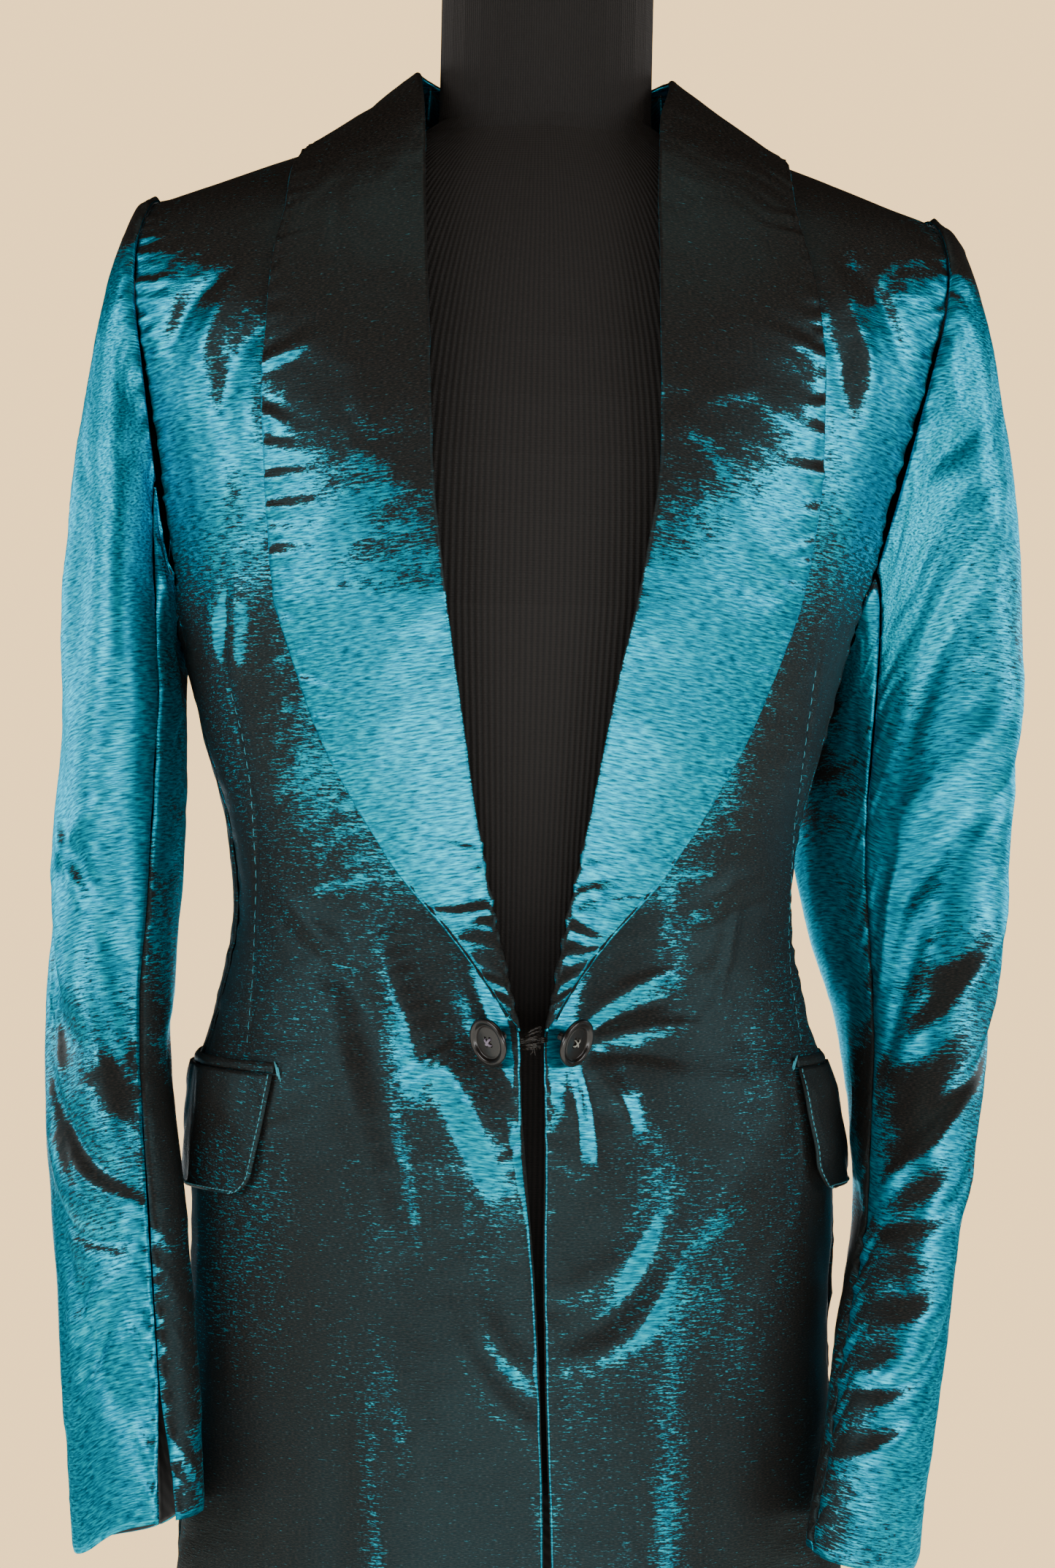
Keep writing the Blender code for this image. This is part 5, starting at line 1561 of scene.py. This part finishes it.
# %% [markdown]
# ## Making the sleeves
#
# Sleeves show how the cloth was worn: creases slant across the elbow, short dimples stand where the
# sleeve's head was eased into the smaller armhole, and the front seam is drawn into beads of puckers over
# the forearm. The strokes are drawn on the unrolled sleeve: degrees round it times 0.8 mm, and height.

# %% Folds of the sleeves
# columns: three points of the bend as degrees round the sleeve and height each; then width and stand in m
SLEEVE_STROKES = {
    "right": (
        (60, 1.110, 84, 1.080, 106, 1.030, 0.0048, -0.0030),
        (40, 1.120, 62, 1.090, 96, 1.060, 0.0050, 0.0024),
        (0, 1.080, 30, 1.060, 66, 1.010, 0.0052, -0.0026),
        (10, 1.050, 44, 1.010, 70, 0.960, 0.0050, 0.0028),
        (80, 1.040, 100, 1.000, 108, 0.950, 0.0046, -0.0024),
        (20, 1.000, 56, 0.960, 100, 0.940, 0.0056, -0.0032),
        (40, 0.985, 70, 0.940, 104, 0.930, 0.0044, 0.0024),
        (30, 0.930, 64, 0.905, 104, 0.915, 0.0046, -0.0028),
        (20, 0.960, 60, 0.935, 104, 0.925, 0.0160, 0.0055),
        (20, 1.025, 60, 1.008, 104, 0.995, 0.0140, -0.0045),
        (96, 0.900, 60, 0.870, 24, 0.865, 0.0050, 0.0026),
        (90, 0.880, 60, 0.845, 20, 0.835, 0.0044, -0.0022),
        (60, 1.380, 74, 1.350, 84, 1.300, 0.0060, -0.0020),
        (30, 1.330, 40, 1.250, 50, 1.180, 0.0090, 0.0022),
        (60, 1.270, 70, 1.200, 76, 1.140, 0.0080, -0.0022),
        (84, 1.250, 94, 1.180, 98, 1.120, 0.0060, 0.0020),
        (-40, 1.060, -70, 1.030, -100, 1.010, 0.0060, 0.0024),
        (-50, 1.030, -76, 1.000, -104, 0.990, 0.0054, -0.0024),
        (-30, 0.960, -60, 0.930, -90, 0.920, 0.0060, 0.0020),
    ),
    "left": (
        (50, 1.330, 70, 1.310, 92, 1.300, 0.0052, -0.0024),
        (44, 1.300, 70, 1.250, 96, 1.210, 0.0070, 0.0028),
        (60, 1.260, 84, 1.210, 104, 1.150, 0.0060, -0.0030),
        (40, 1.200, 70, 1.150, 110, 1.110, 0.0068, 0.0026),
        (20, 1.180, 56, 1.130, 100, 1.080, 0.0056, -0.0028),
        (92, 1.120, 112, 1.080, 128, 1.020, 0.0050, 0.0028),
        (84, 1.080, 104, 1.040, 124, 0.990, 0.0044, -0.0028),
        (30, 1.090, 66, 1.040, 100, 1.010, 0.0056, 0.0026),
        (20, 1.040, 54, 1.000, 96, 0.975, 0.0050, -0.0028),
        (60, 1.000, 90, 0.960, 122, 0.940, 0.0052, 0.0026),
        (40, 0.960, 80, 0.925, 120, 0.925, 0.0046, -0.0012),
        (30, 0.915, 64, 0.880, 110, 0.880, 0.0080, 0.0014),
        (50, 0.880, 80, 0.850, 116, 0.850, 0.0046, -0.0022),
        (70, 0.840, 96, 0.820, 124, 0.815, 0.0044, 0.0018),
        (-40, 1.070, -70, 1.040, -100, 1.020, 0.0060, 0.0024),
        (-50, 1.040, -76, 1.010, -104, 1.000, 0.0054, -0.0024),
        (-30, 0.970, -60, 0.940, -90, 0.930, 0.0060, 0.0020),
    ),
}
SLEEVE_GRIDS = {"top": (84, 240), "under": (44, 240)}
SLEEVE_SEAM_PUCKERS = {"right": (0.36, 0.62), "left": (0.34, 0.60)}  # metres down from the head
SLEEVE_SEEDS = {("right", "under"): 120, ("right", "top"): 121, ("left", "under"): 123, ("left", "top"): 124}
BUNCH_STAND, BUNCH_HEIGHT, BUNCH_WIDTH = 0.0034, 1.236, 0.016


def sleeve_relief(which, strip, grid):
    """Strokes and crumple, calm at the head, and puckers along each seam, the eased head and the hem."""
    columns, rows = grid
    u, v = np.meshgrid(np.linspace(0, 1, columns), np.linspace(0, 1, rows))
    angle, _, _ = sleeve_angle(which, strip, u, v)
    table = np.array(SLEEVE_STROKES[which])
    table[:, (0, 2, 4)] *= METRES_PER_SLEEVE_DEGREE
    seed = SLEEVE_SEEDS[which, strip]
    start, end = SLEEVE_SEAM_PUCKERS[which]

    def relief(points, across, upward):
        from_back, from_front, from_cuff, from_head = edge_distances(across, upward)
        if strip == "under":
            from_back, from_front = from_front, from_back
        down = upward[-1:] - upward
        height = strokes(angle * METRES_PER_SLEEVE_DEGREE, points[..., 2], table.tolist())
        height = crumpled(height, across, upward, seed, "sleeve")
        height = height * (smooth_step(from_head / 0.02) * (0.35 + 0.65 * smooth_step(from_cuff / 0.03)))
        height = height + puckers(down, from_front, seed + 9, *PUCKERS["forearm"], start, end)
        height = height + puckers(down, from_front, seed + 13, *PUCKERS["upper arm"], 0.0, start)
        height = height + puckers(down, from_back, seed + 17, *PUCKERS["back seam"])
        if strip == "under":  # under the arm the cloth bunches against the body
            bunch = BUNCH_STAND * bell(points[..., 2] - BUNCH_HEIGHT, BUNCH_WIDTH)
            height = height + bunch * smooth_step(from_front / 0.003) * smooth_step(from_back / 0.02)
        around = across[-1:] + 0 * across
        eased = puckers(around, from_head, seed + 21, *PUCKERS["sleeve head"])
        height = height + eased * (0.4 + 0.6 * smooth_step(from_back / 0.05))
        hem = seam_dip(from_cuff, 0.0015, 0.0006) + 0.0002 * bell(from_cuff - 0.025, 0.0012)
        return height + hem + seam_dip(from_front) + seam_dip(from_back) + 1.3 * seam_dip(from_head)

    return relief


for which, side in SIDES.items():
    for strip, grid in SLEEVE_GRIDS.items():
        cloth_sheet(
            f"coat_{strip}_sleeve_{which}",
            sleeve_piece(which, strip),
            grid,
            -side,
            f"{strip}_sleeve_{which}",
            sleeve_relief(which, strip, grid),
            "hung",
            sleeve_taffeta if strip == "top" else under_taffeta,
        )

# %% [markdown]
# ## Stitches, buttons and the cord
#
# Hand stitches are short tubes laid on the cloth: each rises out of it and dives back in, so they look
# like dashes of thread. The two horn buttons are turned, with a raised rim, a shallow dish and four holes
# crossed by a star of thread. They stand on shanks of wound thread, turned away from each other by the
# pull of the link, a knot of several turns of dark cord.

# %% Tubes of thread


def tubes(name, paths, radius, material, reference=(0.0, 0.0, 1.0), around=8, node=None):
    """Rings round every path: p + r (side cos t + over sin t), side = tangent x reference."""
    paths = np.asarray(paths, float)
    count, steps = paths.shape[:2]
    tangent = unit(np.gradient(paths, axis=1))
    side = unit(np.cross(tangent, np.broadcast_to(reference, tangent.shape)))
    over = np.cross(tangent, side)
    t = np.arange(around) * 2 * np.pi / around
    ring = side[:, :, None] * np.cos(t)[:, None] + over[:, :, None] * np.sin(t)[:, None]
    points = paths[:, :, None] + ring * np.broadcast_to(radius, paths.shape[:2])[..., None, None]
    one = np.array(grid_faces(steps, around, around=True))
    sides = (one + (np.arange(count) * steps * around)[:, None, None]).reshape(-1, 4).tolist()
    first = np.arange(around)[::-1] + (np.arange(count) * steps * around)[:, None]
    last = np.arange(around) + ((np.arange(count) + 1) * steps * around - around)[:, None]
    uv = stack(t / (2 * np.pi), run(paths, 1)[..., None])
    piece = new_piece(name, points, sides + first.tolist() + last.tolist(), [material], uv, node)
    print(f"{name}: {count} tubes")
    return piece


def stitch_row(line, out, length, gap, lift=0.00025):
    """Paths of stitches along a line: each rises over the cloth as the square root of a sine."""
    far = run(line, 0)
    starts = np.arange(gap / 2, far[-1] - length, length + gap)
    share = np.linspace(0, 1, 7)
    at = starts[:, None] + length * share
    place, facing = read_points(at, far, line), unit(read_points(at, far, out))
    height = lift * (2 * np.sin(np.pi * share) ** 0.5 - 1)
    return place + facing * height[:, None]


# Silk thread is a bundle of bright filaments: half metallic to the eye, with a soft sheen along its edge.
teal_thread, _, _ = new_material("teal_silk_thread", "#2f9fb0", 0.38, Metallic=0.45, Sheen_Weight=0.3)

# %% [markdown]
# ### Stitched edges
#
# The flaps and the darts are held by running stitches of teal silk, and a short bar tack closes each
# pocket's front end.

# %% Stitches on the flaps and darts
FLAP_STITCH = (0.0021, 0.0009)  # metres of thread, metres of gap
DART_STITCH = (0.0042, 0.0028)
FLAP_THREAD, DART_THREAD, TACK_THREAD = 0.00028, 0.00022, 0.00030  # radii in metres
DART_LINES = {  # across and height of the stitched part of each dart
    "right": (
        (-0.1515, 1.186), (-0.1440, 1.160), (-0.1396, 1.136),
        (-0.1360, 1.090), (-0.1366, 1.042), (-0.1388, 1.006),
    ),
    "left": (
        (0.1385, 1.205), (0.1345, 1.160), (0.1328, 1.120),
        (0.1320, 1.085), (0.1324, 1.045), (0.1374, 1.010),
    ),
}


def on_rows(points, side, line):
    """Points of a sheet's rows where they cross a line given as (across, height), and their normals."""
    across, height = np.array(line)[::-1].T
    rows = [r for r in range(len(points)) if height[0] < points[r, 0, 2] < height[-1]]
    normal = normals_of(points, side)
    found, facing = [], []
    for r in rows:
        x = np.interp(points[r, 0, 2], height, across) * side
        order = np.argsort(points[r, :, 0] * side)
        known = points[r, order, 0] * side
        found.append(read_points(x, known, points[r, order]))
        facing.append(read_points(x, known, normal[r, order]))
    return np.array(found), np.array(facing)


for which, side in SIDES.items():
    points = flaps[which]
    normal = normals_of(points, side)
    inner = 0.15 * points + 0.85 * np.roll(points, -1, axis=1)
    line = np.concatenate([inner[::-1, 0], points[1, 2:-2]])
    out = np.concatenate([normal[::-1, 0], normal[1, 2:-2]])
    rows = stitch_row(line, out, *FLAP_STITCH)
    outside = (side * 0.8, -0.6, 0.1)
    tubes(f"flap_stitches_{which}", rows, FLAP_THREAD, teal_thread, outside, 6)
    line, out = on_rows(fronts[which][1], side, DART_LINES[which])
    rows = stitch_row(line, out, *DART_STITCH, lift=0.0002)
    tubes(f"dart_stitches_{which}", rows, DART_THREAD, teal_thread, outside, 6)
    top = points[-1, 0] + normal[-1, 0] * 0.0006
    fall = np.linspace(0, 1, 9)[:, None]
    starts = [top + np.array([-side * (0.0012 + 0.0008 * k), 0, 0.0062 - 0.0014 * k]) for k in range(3)]
    tack = [start - fall * [side * 0.0016, 0, 0.0072] for start in starts]
    tubes(f"pocket_tack_{which}", tack, TACK_THREAD, teal_thread, (0.0, -1.0, 0.0), 6)

# %% [markdown]
# ### Horn buttons
#
# Horn is brown-black, a little see-through at its thin rim, and polished. Its base colour runs in faint
# streaks, and a clear coat gives the hard highlights along the rim.

# %% Buttons
BUTTON_RADIUS = 0.0121
BUTTON_THICKNESS = 0.0030
BUTTON_OFF_MIDDLE = 0.0125
BUTTON_OUT_DEG = 50.0
BUTTON_DOWN_DEG = 16.0
BUTTON_RISE = 0.0020
SHANK_LENGTH = 0.0078
SHANK_RADIUS = 0.0022
SHANK_SINK = {"left": 0.0002, "right": 0.0009}
HOLE_RING = 0.0023
HOLE_RADIUS = 0.00082
# rings from the dish's edge over the rim to the back: share of the radius, share of the thickness
BUTTON_PROFILE = (
    (0.50, 0.505), (0.58, 0.50), (0.63, 0.49), (0.66, 0.46), (0.685, 0.45), (0.71, 0.50), (0.74, 0.70),
    (0.77, 0.86), (0.80, 0.93), (0.84, 0.975), (0.89, 0.985), (0.93, 0.95), (0.965, 0.86), (0.99, 0.72),
    (1.0, 0.58), (0.998, 0.42), (0.985, 0.28), (0.96, 0.15), (0.92, 0.06), (0.86, 0.0), (0.60, 0.0),
    (0.15, 0.0),
)
BUTTON_SEGMENTS = 112
THREAD_TURNS_DEG = (45, 135, 225, 315, 45, 135)
THREAD_RADIUS = 0.00027
HORN_STREAKS_PER_METRE = (900, 260, 260)  # times the noise's own 5: streaks 0.2 mm across, 0.8 mm along


def horn():
    """Streaks of noise colour the polished horn and lift it a little; a clear coat lies over them."""
    material, tree, shader = new_material(
        "black_brown_horn", "#120d0b", 0.30, Coat_Weight=0.35, Coat_Roughness=0.10, Coat_IOR=1.54
    )
    place = add_node(tree, "TexCoord").outputs["Object"]
    turned = {"Scale": HORN_STREAKS_PER_METRE, "Rotation": (0.3, 0.2, 0.6)}
    streaks = add_node(tree, "Mapping", {"Vector": place, **turned})
    noise = add_node(tree, "TexNoise", {"Vector": streaks, "Detail": 3.0})
    browns = ((0.32, "#080605"), (0.55, "#17100d"), (0.72, "#33261c"))
    colour = add_node(tree, "ValToRGB", {"Fac": noise}, browns)
    bump = add_node(tree, "Bump", {"Height": noise, "Strength": 0.12, "Distance": 0.0002})
    fill(tree, shader, {"Base Color": colour, "Normal": bump})
    return material


def cord_material():
    """Twisted cord: its strands are stripes of a wave, 2.2 mm apart, slanted over the tube's own map."""
    material, tree, shader = new_material(
        "dark_twisted_cord", "#14110f", 0.36, Sheen_Weight=0.2, Sheen_Tint=linear("#8a7766")
    )
    place = add_node(tree, "UVMap", uv_map="UVMap")
    slanted = add_node(tree, "Mapping", {"Vector": place, "Scale": (1.0, 900.0, 1.0)})
    strands = add_node(tree, "TexWave", {"Vector": slanted, "Scale": 0.32}, bands_direction="DIAGONAL")
    strands = strands.outputs["Fac"]
    # The strands' colour is painted shade: darkest in the grooves between them, lighter on their crests.
    browns = ((0.2, "#050404"), (0.7, "#15110f"), (1.0, "#3a312a"))
    colour = add_node(tree, "ValToRGB", {"Fac": strands}, browns)
    bump = add_node(tree, "Bump", {"Height": strands, "Strength": 0.8, "Distance": 0.0002})
    fill(tree, shader, {"Base Color": colour, "Normal": bump})
    return material


horn_material = horn()
cord = cord_material()
# Spun button thread scatters light among its fibres: matt, with a sheen at its edge.
lilac_thread, _, _ = new_material("lilac_grey_thread", "#8c7f92", 0.5, Sheen_Weight=0.4)
silver_thread, _, _ = new_material("silver_grey_thread", "#9a988c", 0.5, Sheen_Weight=0.4)


def button_seat(which):
    """Where the button's back is, and its three axes: sideways, over and facing."""
    side = SIDES[which]
    across = np.array([BUTTON_OFF_MIDDLE + off_middle(np.array(LINK_HEIGHT), side)])
    travel = np.array([LINK_HEIGHT + BUTTON_RISE - ARMPIT_HEIGHT])
    foot = raised(skin, across, travel, side, np.array([CLOTH + SEAM_GAP - SHANK_SINK[which]]))[0]
    out, down = math.radians(BUTTON_OUT_DEG), math.radians(BUTTON_DOWN_DEG)
    ahead = math.cos(down)
    facing = np.array([side * math.sin(out) * ahead, -math.cos(out) * ahead, -math.sin(down)])
    sideways = unit(np.cross([0.0, 0.0, 1.0], facing))
    seat = foot + facing * (SHANK_LENGTH + SHANK_RADIUS * math.sin(out))
    return seat, np.array([sideways, np.cross(facing, sideways), facing])


for which, side in SIDES.items():
    seat, axes = button_seat(which)
    dish = np.linspace(0.004, 0.49, 44)
    shares, heights = np.array(BUTTON_PROFILE).T
    radii = np.concatenate([dish, shares]) * BUTTON_RADIUS
    heights = np.concatenate([0.535 - 0.12 * dish**2, heights]) * BUTTON_THICKNESS
    t = np.arange(BUTTON_SEGMENTS) * 2 * np.pi / BUTTON_SEGMENTS
    x, y = radii[:, None] * np.cos(t), radii[:, None] * np.sin(t)
    hole = np.hypot(np.abs(x) - HOLE_RING / math.sqrt(2), np.abs(y) - HOLE_RING / math.sqrt(2))
    front = np.arange(len(radii))[:, None] < len(dish)
    z = heights[:, None] - 0.0016 * smooth_step((HOLE_RADIUS - hole) / 0.00022 + 0.5) * front
    faces = grid_faces(len(radii), len(t), flip=True, around=True) + [np.arange(len(t)).tolist()]
    points, node = seat + stack(x, y, z) @ axes, f"link_button_{which}"
    new_piece(f"horn_button_{which}", points, faces, [horn_material], None, node)
    s = np.linspace(-1, 1, 17)
    rise = 0.53 * BUTTON_THICKNESS + 0.00042 * (1 - s**4) - 0.0010 * smooth_step((np.abs(s) - 0.82) / 0.15)
    strands = []
    for k, turn in enumerate(THREAD_TURNS_DEG):
        way = np.array([math.cos(math.radians(turn)), math.sin(math.radians(turn))])
        beside = np.array([-way[1], way[0]]) * (0.00030 * ((k % 3) - 1) + 0.00010)
        flat = way * (s * HOLE_RING * 1.04)[:, None] + beside
        strands.append(seat + stack(flat[:, 0], flat[:, 1], rise + 0.00010 * k) @ axes)
    thread = lilac_thread if which == "right" else silver_thread
    tubes(f"button_thread_{which}", strands, THREAD_RADIUS, thread, axes[2], 8)
    along = np.linspace(0.0002, -SHANK_LENGTH - 0.0012, 60)
    shank = (seat + stack(0 * along, 0 * along, along) @ axes)[None]
    wound = SHANK_RADIUS * (0.84 + 0.10 * np.sin(along * 2 * np.pi / 0.00075))
    tubes(f"button_shank_{which}", shank, wound[None], cord, axes[0], 20)

# %% [markdown]
# ### The cord link
#
# Seven uneven turns of cord lie on each other round the two edges of the fronts, the upper two tilted, and
# the two ends hang below.

# %% Cord link
CORD_RADIUS = 0.00050
# each turn's middle across and up, half width and half depth in mm, tilt across and along in degrees
LOOPS = (
    (0.1, -3.9, 3.9, 3.2, 6, 10),
    (-0.2, -2.7, 4.3, 3.5, -5, 6),
    (0.2, -1.5, 4.4, 3.7, 9, -6),
    (0.0, -0.3, 4.3, 3.6, 3, 12),
    (-0.2, 0.9, 4.1, 3.5, 14, 4),
    (0.3, 2.4, 3.9, 3.2, 24, 16),
    (0.7, 3.8, 3.5, 2.7, 32, 26),
)
CORD_END_RADIUS = 0.00024
reach = float(opening("half_gap", LINK_HEIGHT)) - SEAM_GAP
skin_there = skin(np.array([reach]), np.array([LINK_HEIGHT - ARMPIT_HEIGHT]), 1.0)[0]
link_place = np.array([float(opening("middle", LINK_HEIGHT)), skin_there[1] - CLOTH / 2, LINK_HEIGHT])
t = np.linspace(0, 2 * np.pi, 73)
turns = []
for across, up, wide, deep, tilt, lean in LOOPS:
    x = wide * np.cos(t) + 0.18 * np.sin(3 * t + up)
    y = deep * np.sin(t) + 0.15 * np.cos(2 * t + across)
    z = up + x * math.sin(math.radians(tilt)) + y * math.sin(math.radians(-lean)) + 0.45 * t / (2 * np.pi)
    turns.append(link_place + stack(x + across, y, z) / 1000)
tubes("cord_link", turns, CORD_RADIUS, cord, (0.0, 0.0, 1.0), 10, "button_link")
s = np.linspace(0, 1, 24)
ends = [
    link_place + stack(0.6 + 1.2 * s, -3.2 + 2.0 * s**2, -3.0 - 3.2 * s + 0.8 * np.sin(5 * s)) / 1000,
    link_place + stack(-0.9 + 1.4 * np.sin(3 * s), -3.0 + 1.6 * s, -3.2 - 3.4 * s) / 1000,
]
tubes("cord_ends", ends, CORD_END_RADIUS, cord, (0.0, 1.0, 0.2), 8)
s = np.linspace(-1, 1, 40)
bow = 1.2 - 3.4 * np.sqrt(np.clip(1.02 - s**2, 0, 1))
bridge = [link_place + stack((reach * 1000 + 2.2) * s, bow, 0.9 * k + 0.4 * s) / 1000 for k in (-1, 0, 1)]
tubes("cord_bridge", bridge, CORD_RADIUS, cord, (0.0, 0.0, 1.0), 10)

# %% [markdown]
# ## The dress form and its stand
#
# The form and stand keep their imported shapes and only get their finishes: a ribbed black jersey cover
# whose ribs run up the neck and body, black lacquer on the neck's cap, and brushed steel below.

# %% Finishes of the form and stand
RIB_COUNT = 236
COURSES = 5200.0  # radians a metre: a course every 1.2 mm
FUZZ = 900.0  # specks in a metre: 1.1 mm each
BRUSH = 1500.0  # the same for the brushed rings: 0.7 mm
BLOTCH = 260.0  # and for the lacquer: 4 mm


def jersey():
    """Ribs are a sine of the angle round the form: height = sin(n atan2(x, y)), broken by fine noise."""
    material, tree, shader = new_material(
        "ribbed_jersey", "#15110f", 0.82, Sheen_Weight=0.35, Sheen_Roughness=0.5, Sheen_Tint=linear("#6e6158")
    )
    place = add_node(tree, "TexCoord").outputs["Object"]
    x, y, z = add_node(tree, "SeparateXYZ", {"Vector": place}).outputs
    angle = add_node(tree, "Math", {0: x, 1: y}, operation="ARCTAN2")
    many = add_node(tree, "Math", {0: angle, 1: float(RIB_COUNT)}, operation="MULTIPLY")
    rib = add_node(tree, "Math", {0: many}, operation="SINE")
    course = add_node(tree, "Math", {0: z, 1: COURSES}, operation="MULTIPLY")
    loop = add_node(tree, "Math", {0: course}, operation="SINE")
    fuzz = add_node(tree, "TexNoise", {"Vector": place, "Scale": FUZZ, "Detail": 2.0})
    both = add_node(tree, "Math", {0: loop, 1: 0.3, 2: rib}, operation="MULTIPLY_ADD")
    height = add_node(tree, "Math", {0: fuzz, 1: 0.8, 2: both}, operation="MULTIPLY_ADD")
    bump = add_node(tree, "Bump", {"Height": height, "Strength": 0.5, "Distance": 0.0004})
    # The ribs' colour is painted shade: darker in the valleys between the ribs, lighter on their tops.
    shade = add_node(tree, "MapRange", {"Value": rib, "From Min": -1.0, "From Max": 1.0, "To Min": 0.0})
    colour = add_node(tree, "ValToRGB", {"Fac": shade}, ((0.1, "#080605"), (0.8, "#1c1714")))
    fill(tree, shader, {"Base Color": colour, "Normal": bump})
    return material


def brushed_steel():
    """Fine rings round the axis: noise of the distance from it and of the height."""
    material, tree, shader = new_material("brushed_steel", "#a9a9ab", 0.30, Metallic=1.0)
    place = add_node(tree, "TexCoord").outputs["Object"]
    x, y, z = add_node(tree, "SeparateXYZ", {"Vector": place}).outputs
    flat = add_node(tree, "CombineXYZ", {"X": x, "Y": y})
    far = add_node(tree, "VectorMath", {0: flat}, operation="LENGTH").outputs["Value"]
    rings = add_node(tree, "CombineXYZ", {"X": far, "Z": z})
    noise = add_node(tree, "TexNoise", {"Vector": rings, "Scale": BRUSH, "Detail": 3.0})
    rough = add_node(tree, "MapRange", {"Value": noise, "To Min": 0.22, "To Max": 0.40})
    bump = add_node(tree, "Bump", {"Height": noise, "Strength": 0.25, "Distance": 0.0001})
    fill(tree, shader, {"Roughness": rough, "Normal": bump})
    return material


def lacquer():
    """Brushed-on black lacquer: a coat over paint whose roughness wanders with broad noise."""
    material, tree, shader = new_material(
        "black_lacquer", "#0b0b0c", 0.28, Coat_Weight=0.5, Coat_Roughness=0.15
    )
    place = add_node(tree, "TexCoord").outputs["Object"]
    noise = add_node(tree, "TexNoise", {"Vector": place, "Scale": BLOTCH, "Detail": 2.0})
    rough = add_node(tree, "MapRange", {"Value": noise, "To Min": 0.22, "To Max": 0.36})
    fill(tree, shader, {"Roughness": rough})
    return material


steel = brushed_steel()
finishes = {"form_torso": jersey(), "neck_cap": lacquer(), "stand_pole": steel, "stand_base": steel}
for node, material in finishes.items():
    bpy.data.objects[node].material_slots[0].material = material
    print(node, "in", material.name)

# %% [markdown]
# ## Light and floor
#
# The photograph's cloth is near black where it looks up and bright teal where it looks ahead or down, so
# the light comes from all round and from below, and hardly from above; the taffeta's painted highlight and
# painted shade add to it. The wide flat panels stand behind the coat too, because its back is looked at as
# well: one low in front and one low behind, two to each side at chest height, and a weak one on top. The
# floor glows. It and the pale backdrop are brighter for the camera's own rays than for the cloth, which the
# light path tells apart.

# %% Lights, world and floor


def softbox(name, place, aim, width, height, watts, colour="#ffffff"):
    """A rectangle of light at a place, turned to its aim and hidden from the camera."""
    data = bpy.data.lights.new(name, "AREA")
    data.shape = "RECTANGLE"
    data.size, data.size_y = width, height
    data.energy = watts
    data.color = linear(colour)[:3]
    light = bpy.data.objects.new(name, data)
    light.location = place
    light.rotation_mode = "QUATERNION"
    light.rotation_quaternion = (Vector(aim) - Vector(place)).to_track_quat("-Z", "Y")
    light.visible_camera = False
    bpy.context.scene.collection.objects.link(light)
    return light


PANELS = {  # degrees round from the front, distance, height, width, tall, watts
    "front_low": (0, 2.0, 0.52, 2.0, 0.40, 15),
    "side_front": (58, 2.4, 1.50, 1.7, 0.70, 23),
    "side_back": (125, 2.4, 1.35, 1.7, 0.70, 16),
    "back_low": (180, 2.4, 0.70, 2.0, 0.40, 14),
}
for name, (turn, far, high, width, tall, watts) in PANELS.items():
    for side in (1,) if turn in (0, 180) else (1, -1):
        way = math.radians(turn) * side
        place = (far * math.sin(way), -far * math.cos(way), high)
        ending = "" if turn in (0, 180) else "_left" if side > 0 else "_right"
        softbox(f"{name}_panel{ending}", place, (0.0, 0.0, 1.15), width, tall, watts)
softbox("top_panel", (0.0, -0.9, 3.2), (0.0, 0.0, 1.1), 1.6, 1.0, 8, "#fff1e2")

world = bpy.data.worlds.new("pale_studio")
bpy.context.scene.world = world
world.use_nodes = True
tree = world.node_tree
tree.nodes.clear()
camera_ray = add_node(tree, "LightPath").outputs["Is Camera Ray"]
seen = add_node(tree, "Background", {"Color": linear("#f4cc90"), "Strength": 2.5})
lit = add_node(tree, "Background", {"Color": linear("#ecdfcb"), "Strength": 0.025})
mix = add_node(tree, "MixShader", {0: camera_ray, 1: lit, 2: seen})
add_node(tree, "OutputWorld", {"Surface": mix})

bpy.ops.mesh.primitive_circle_add(vertices=96, radius=3.6, fill_type="NGON", location=(0, 0, -0.0005))
floor = bpy.context.object
floor.name = "studio_floor"
pale_floor, tree, shader = new_material(
    "pale_floor", "#f2d3a6", 0.8, Emission_Color=linear("#f4cc90"), Emission_Strength=2.1
)
camera_ray = add_node(tree, "LightPath").outputs["Is Camera Ray"]
glow = add_node(tree, "Emission", {"Color": linear("#ebe9df"), "Strength": 1.7})
shown = add_node(tree, "MixShader", {0: camera_ray, 1: glow, 2: shader})
fill(tree, tree.nodes["Material Output"], {"Surface": shown})
floor.data.materials.append(pale_floor)
print(len(bpy.data.lights), "panels round the coat")
floor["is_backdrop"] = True

# %% The scene's bounds
low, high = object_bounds()
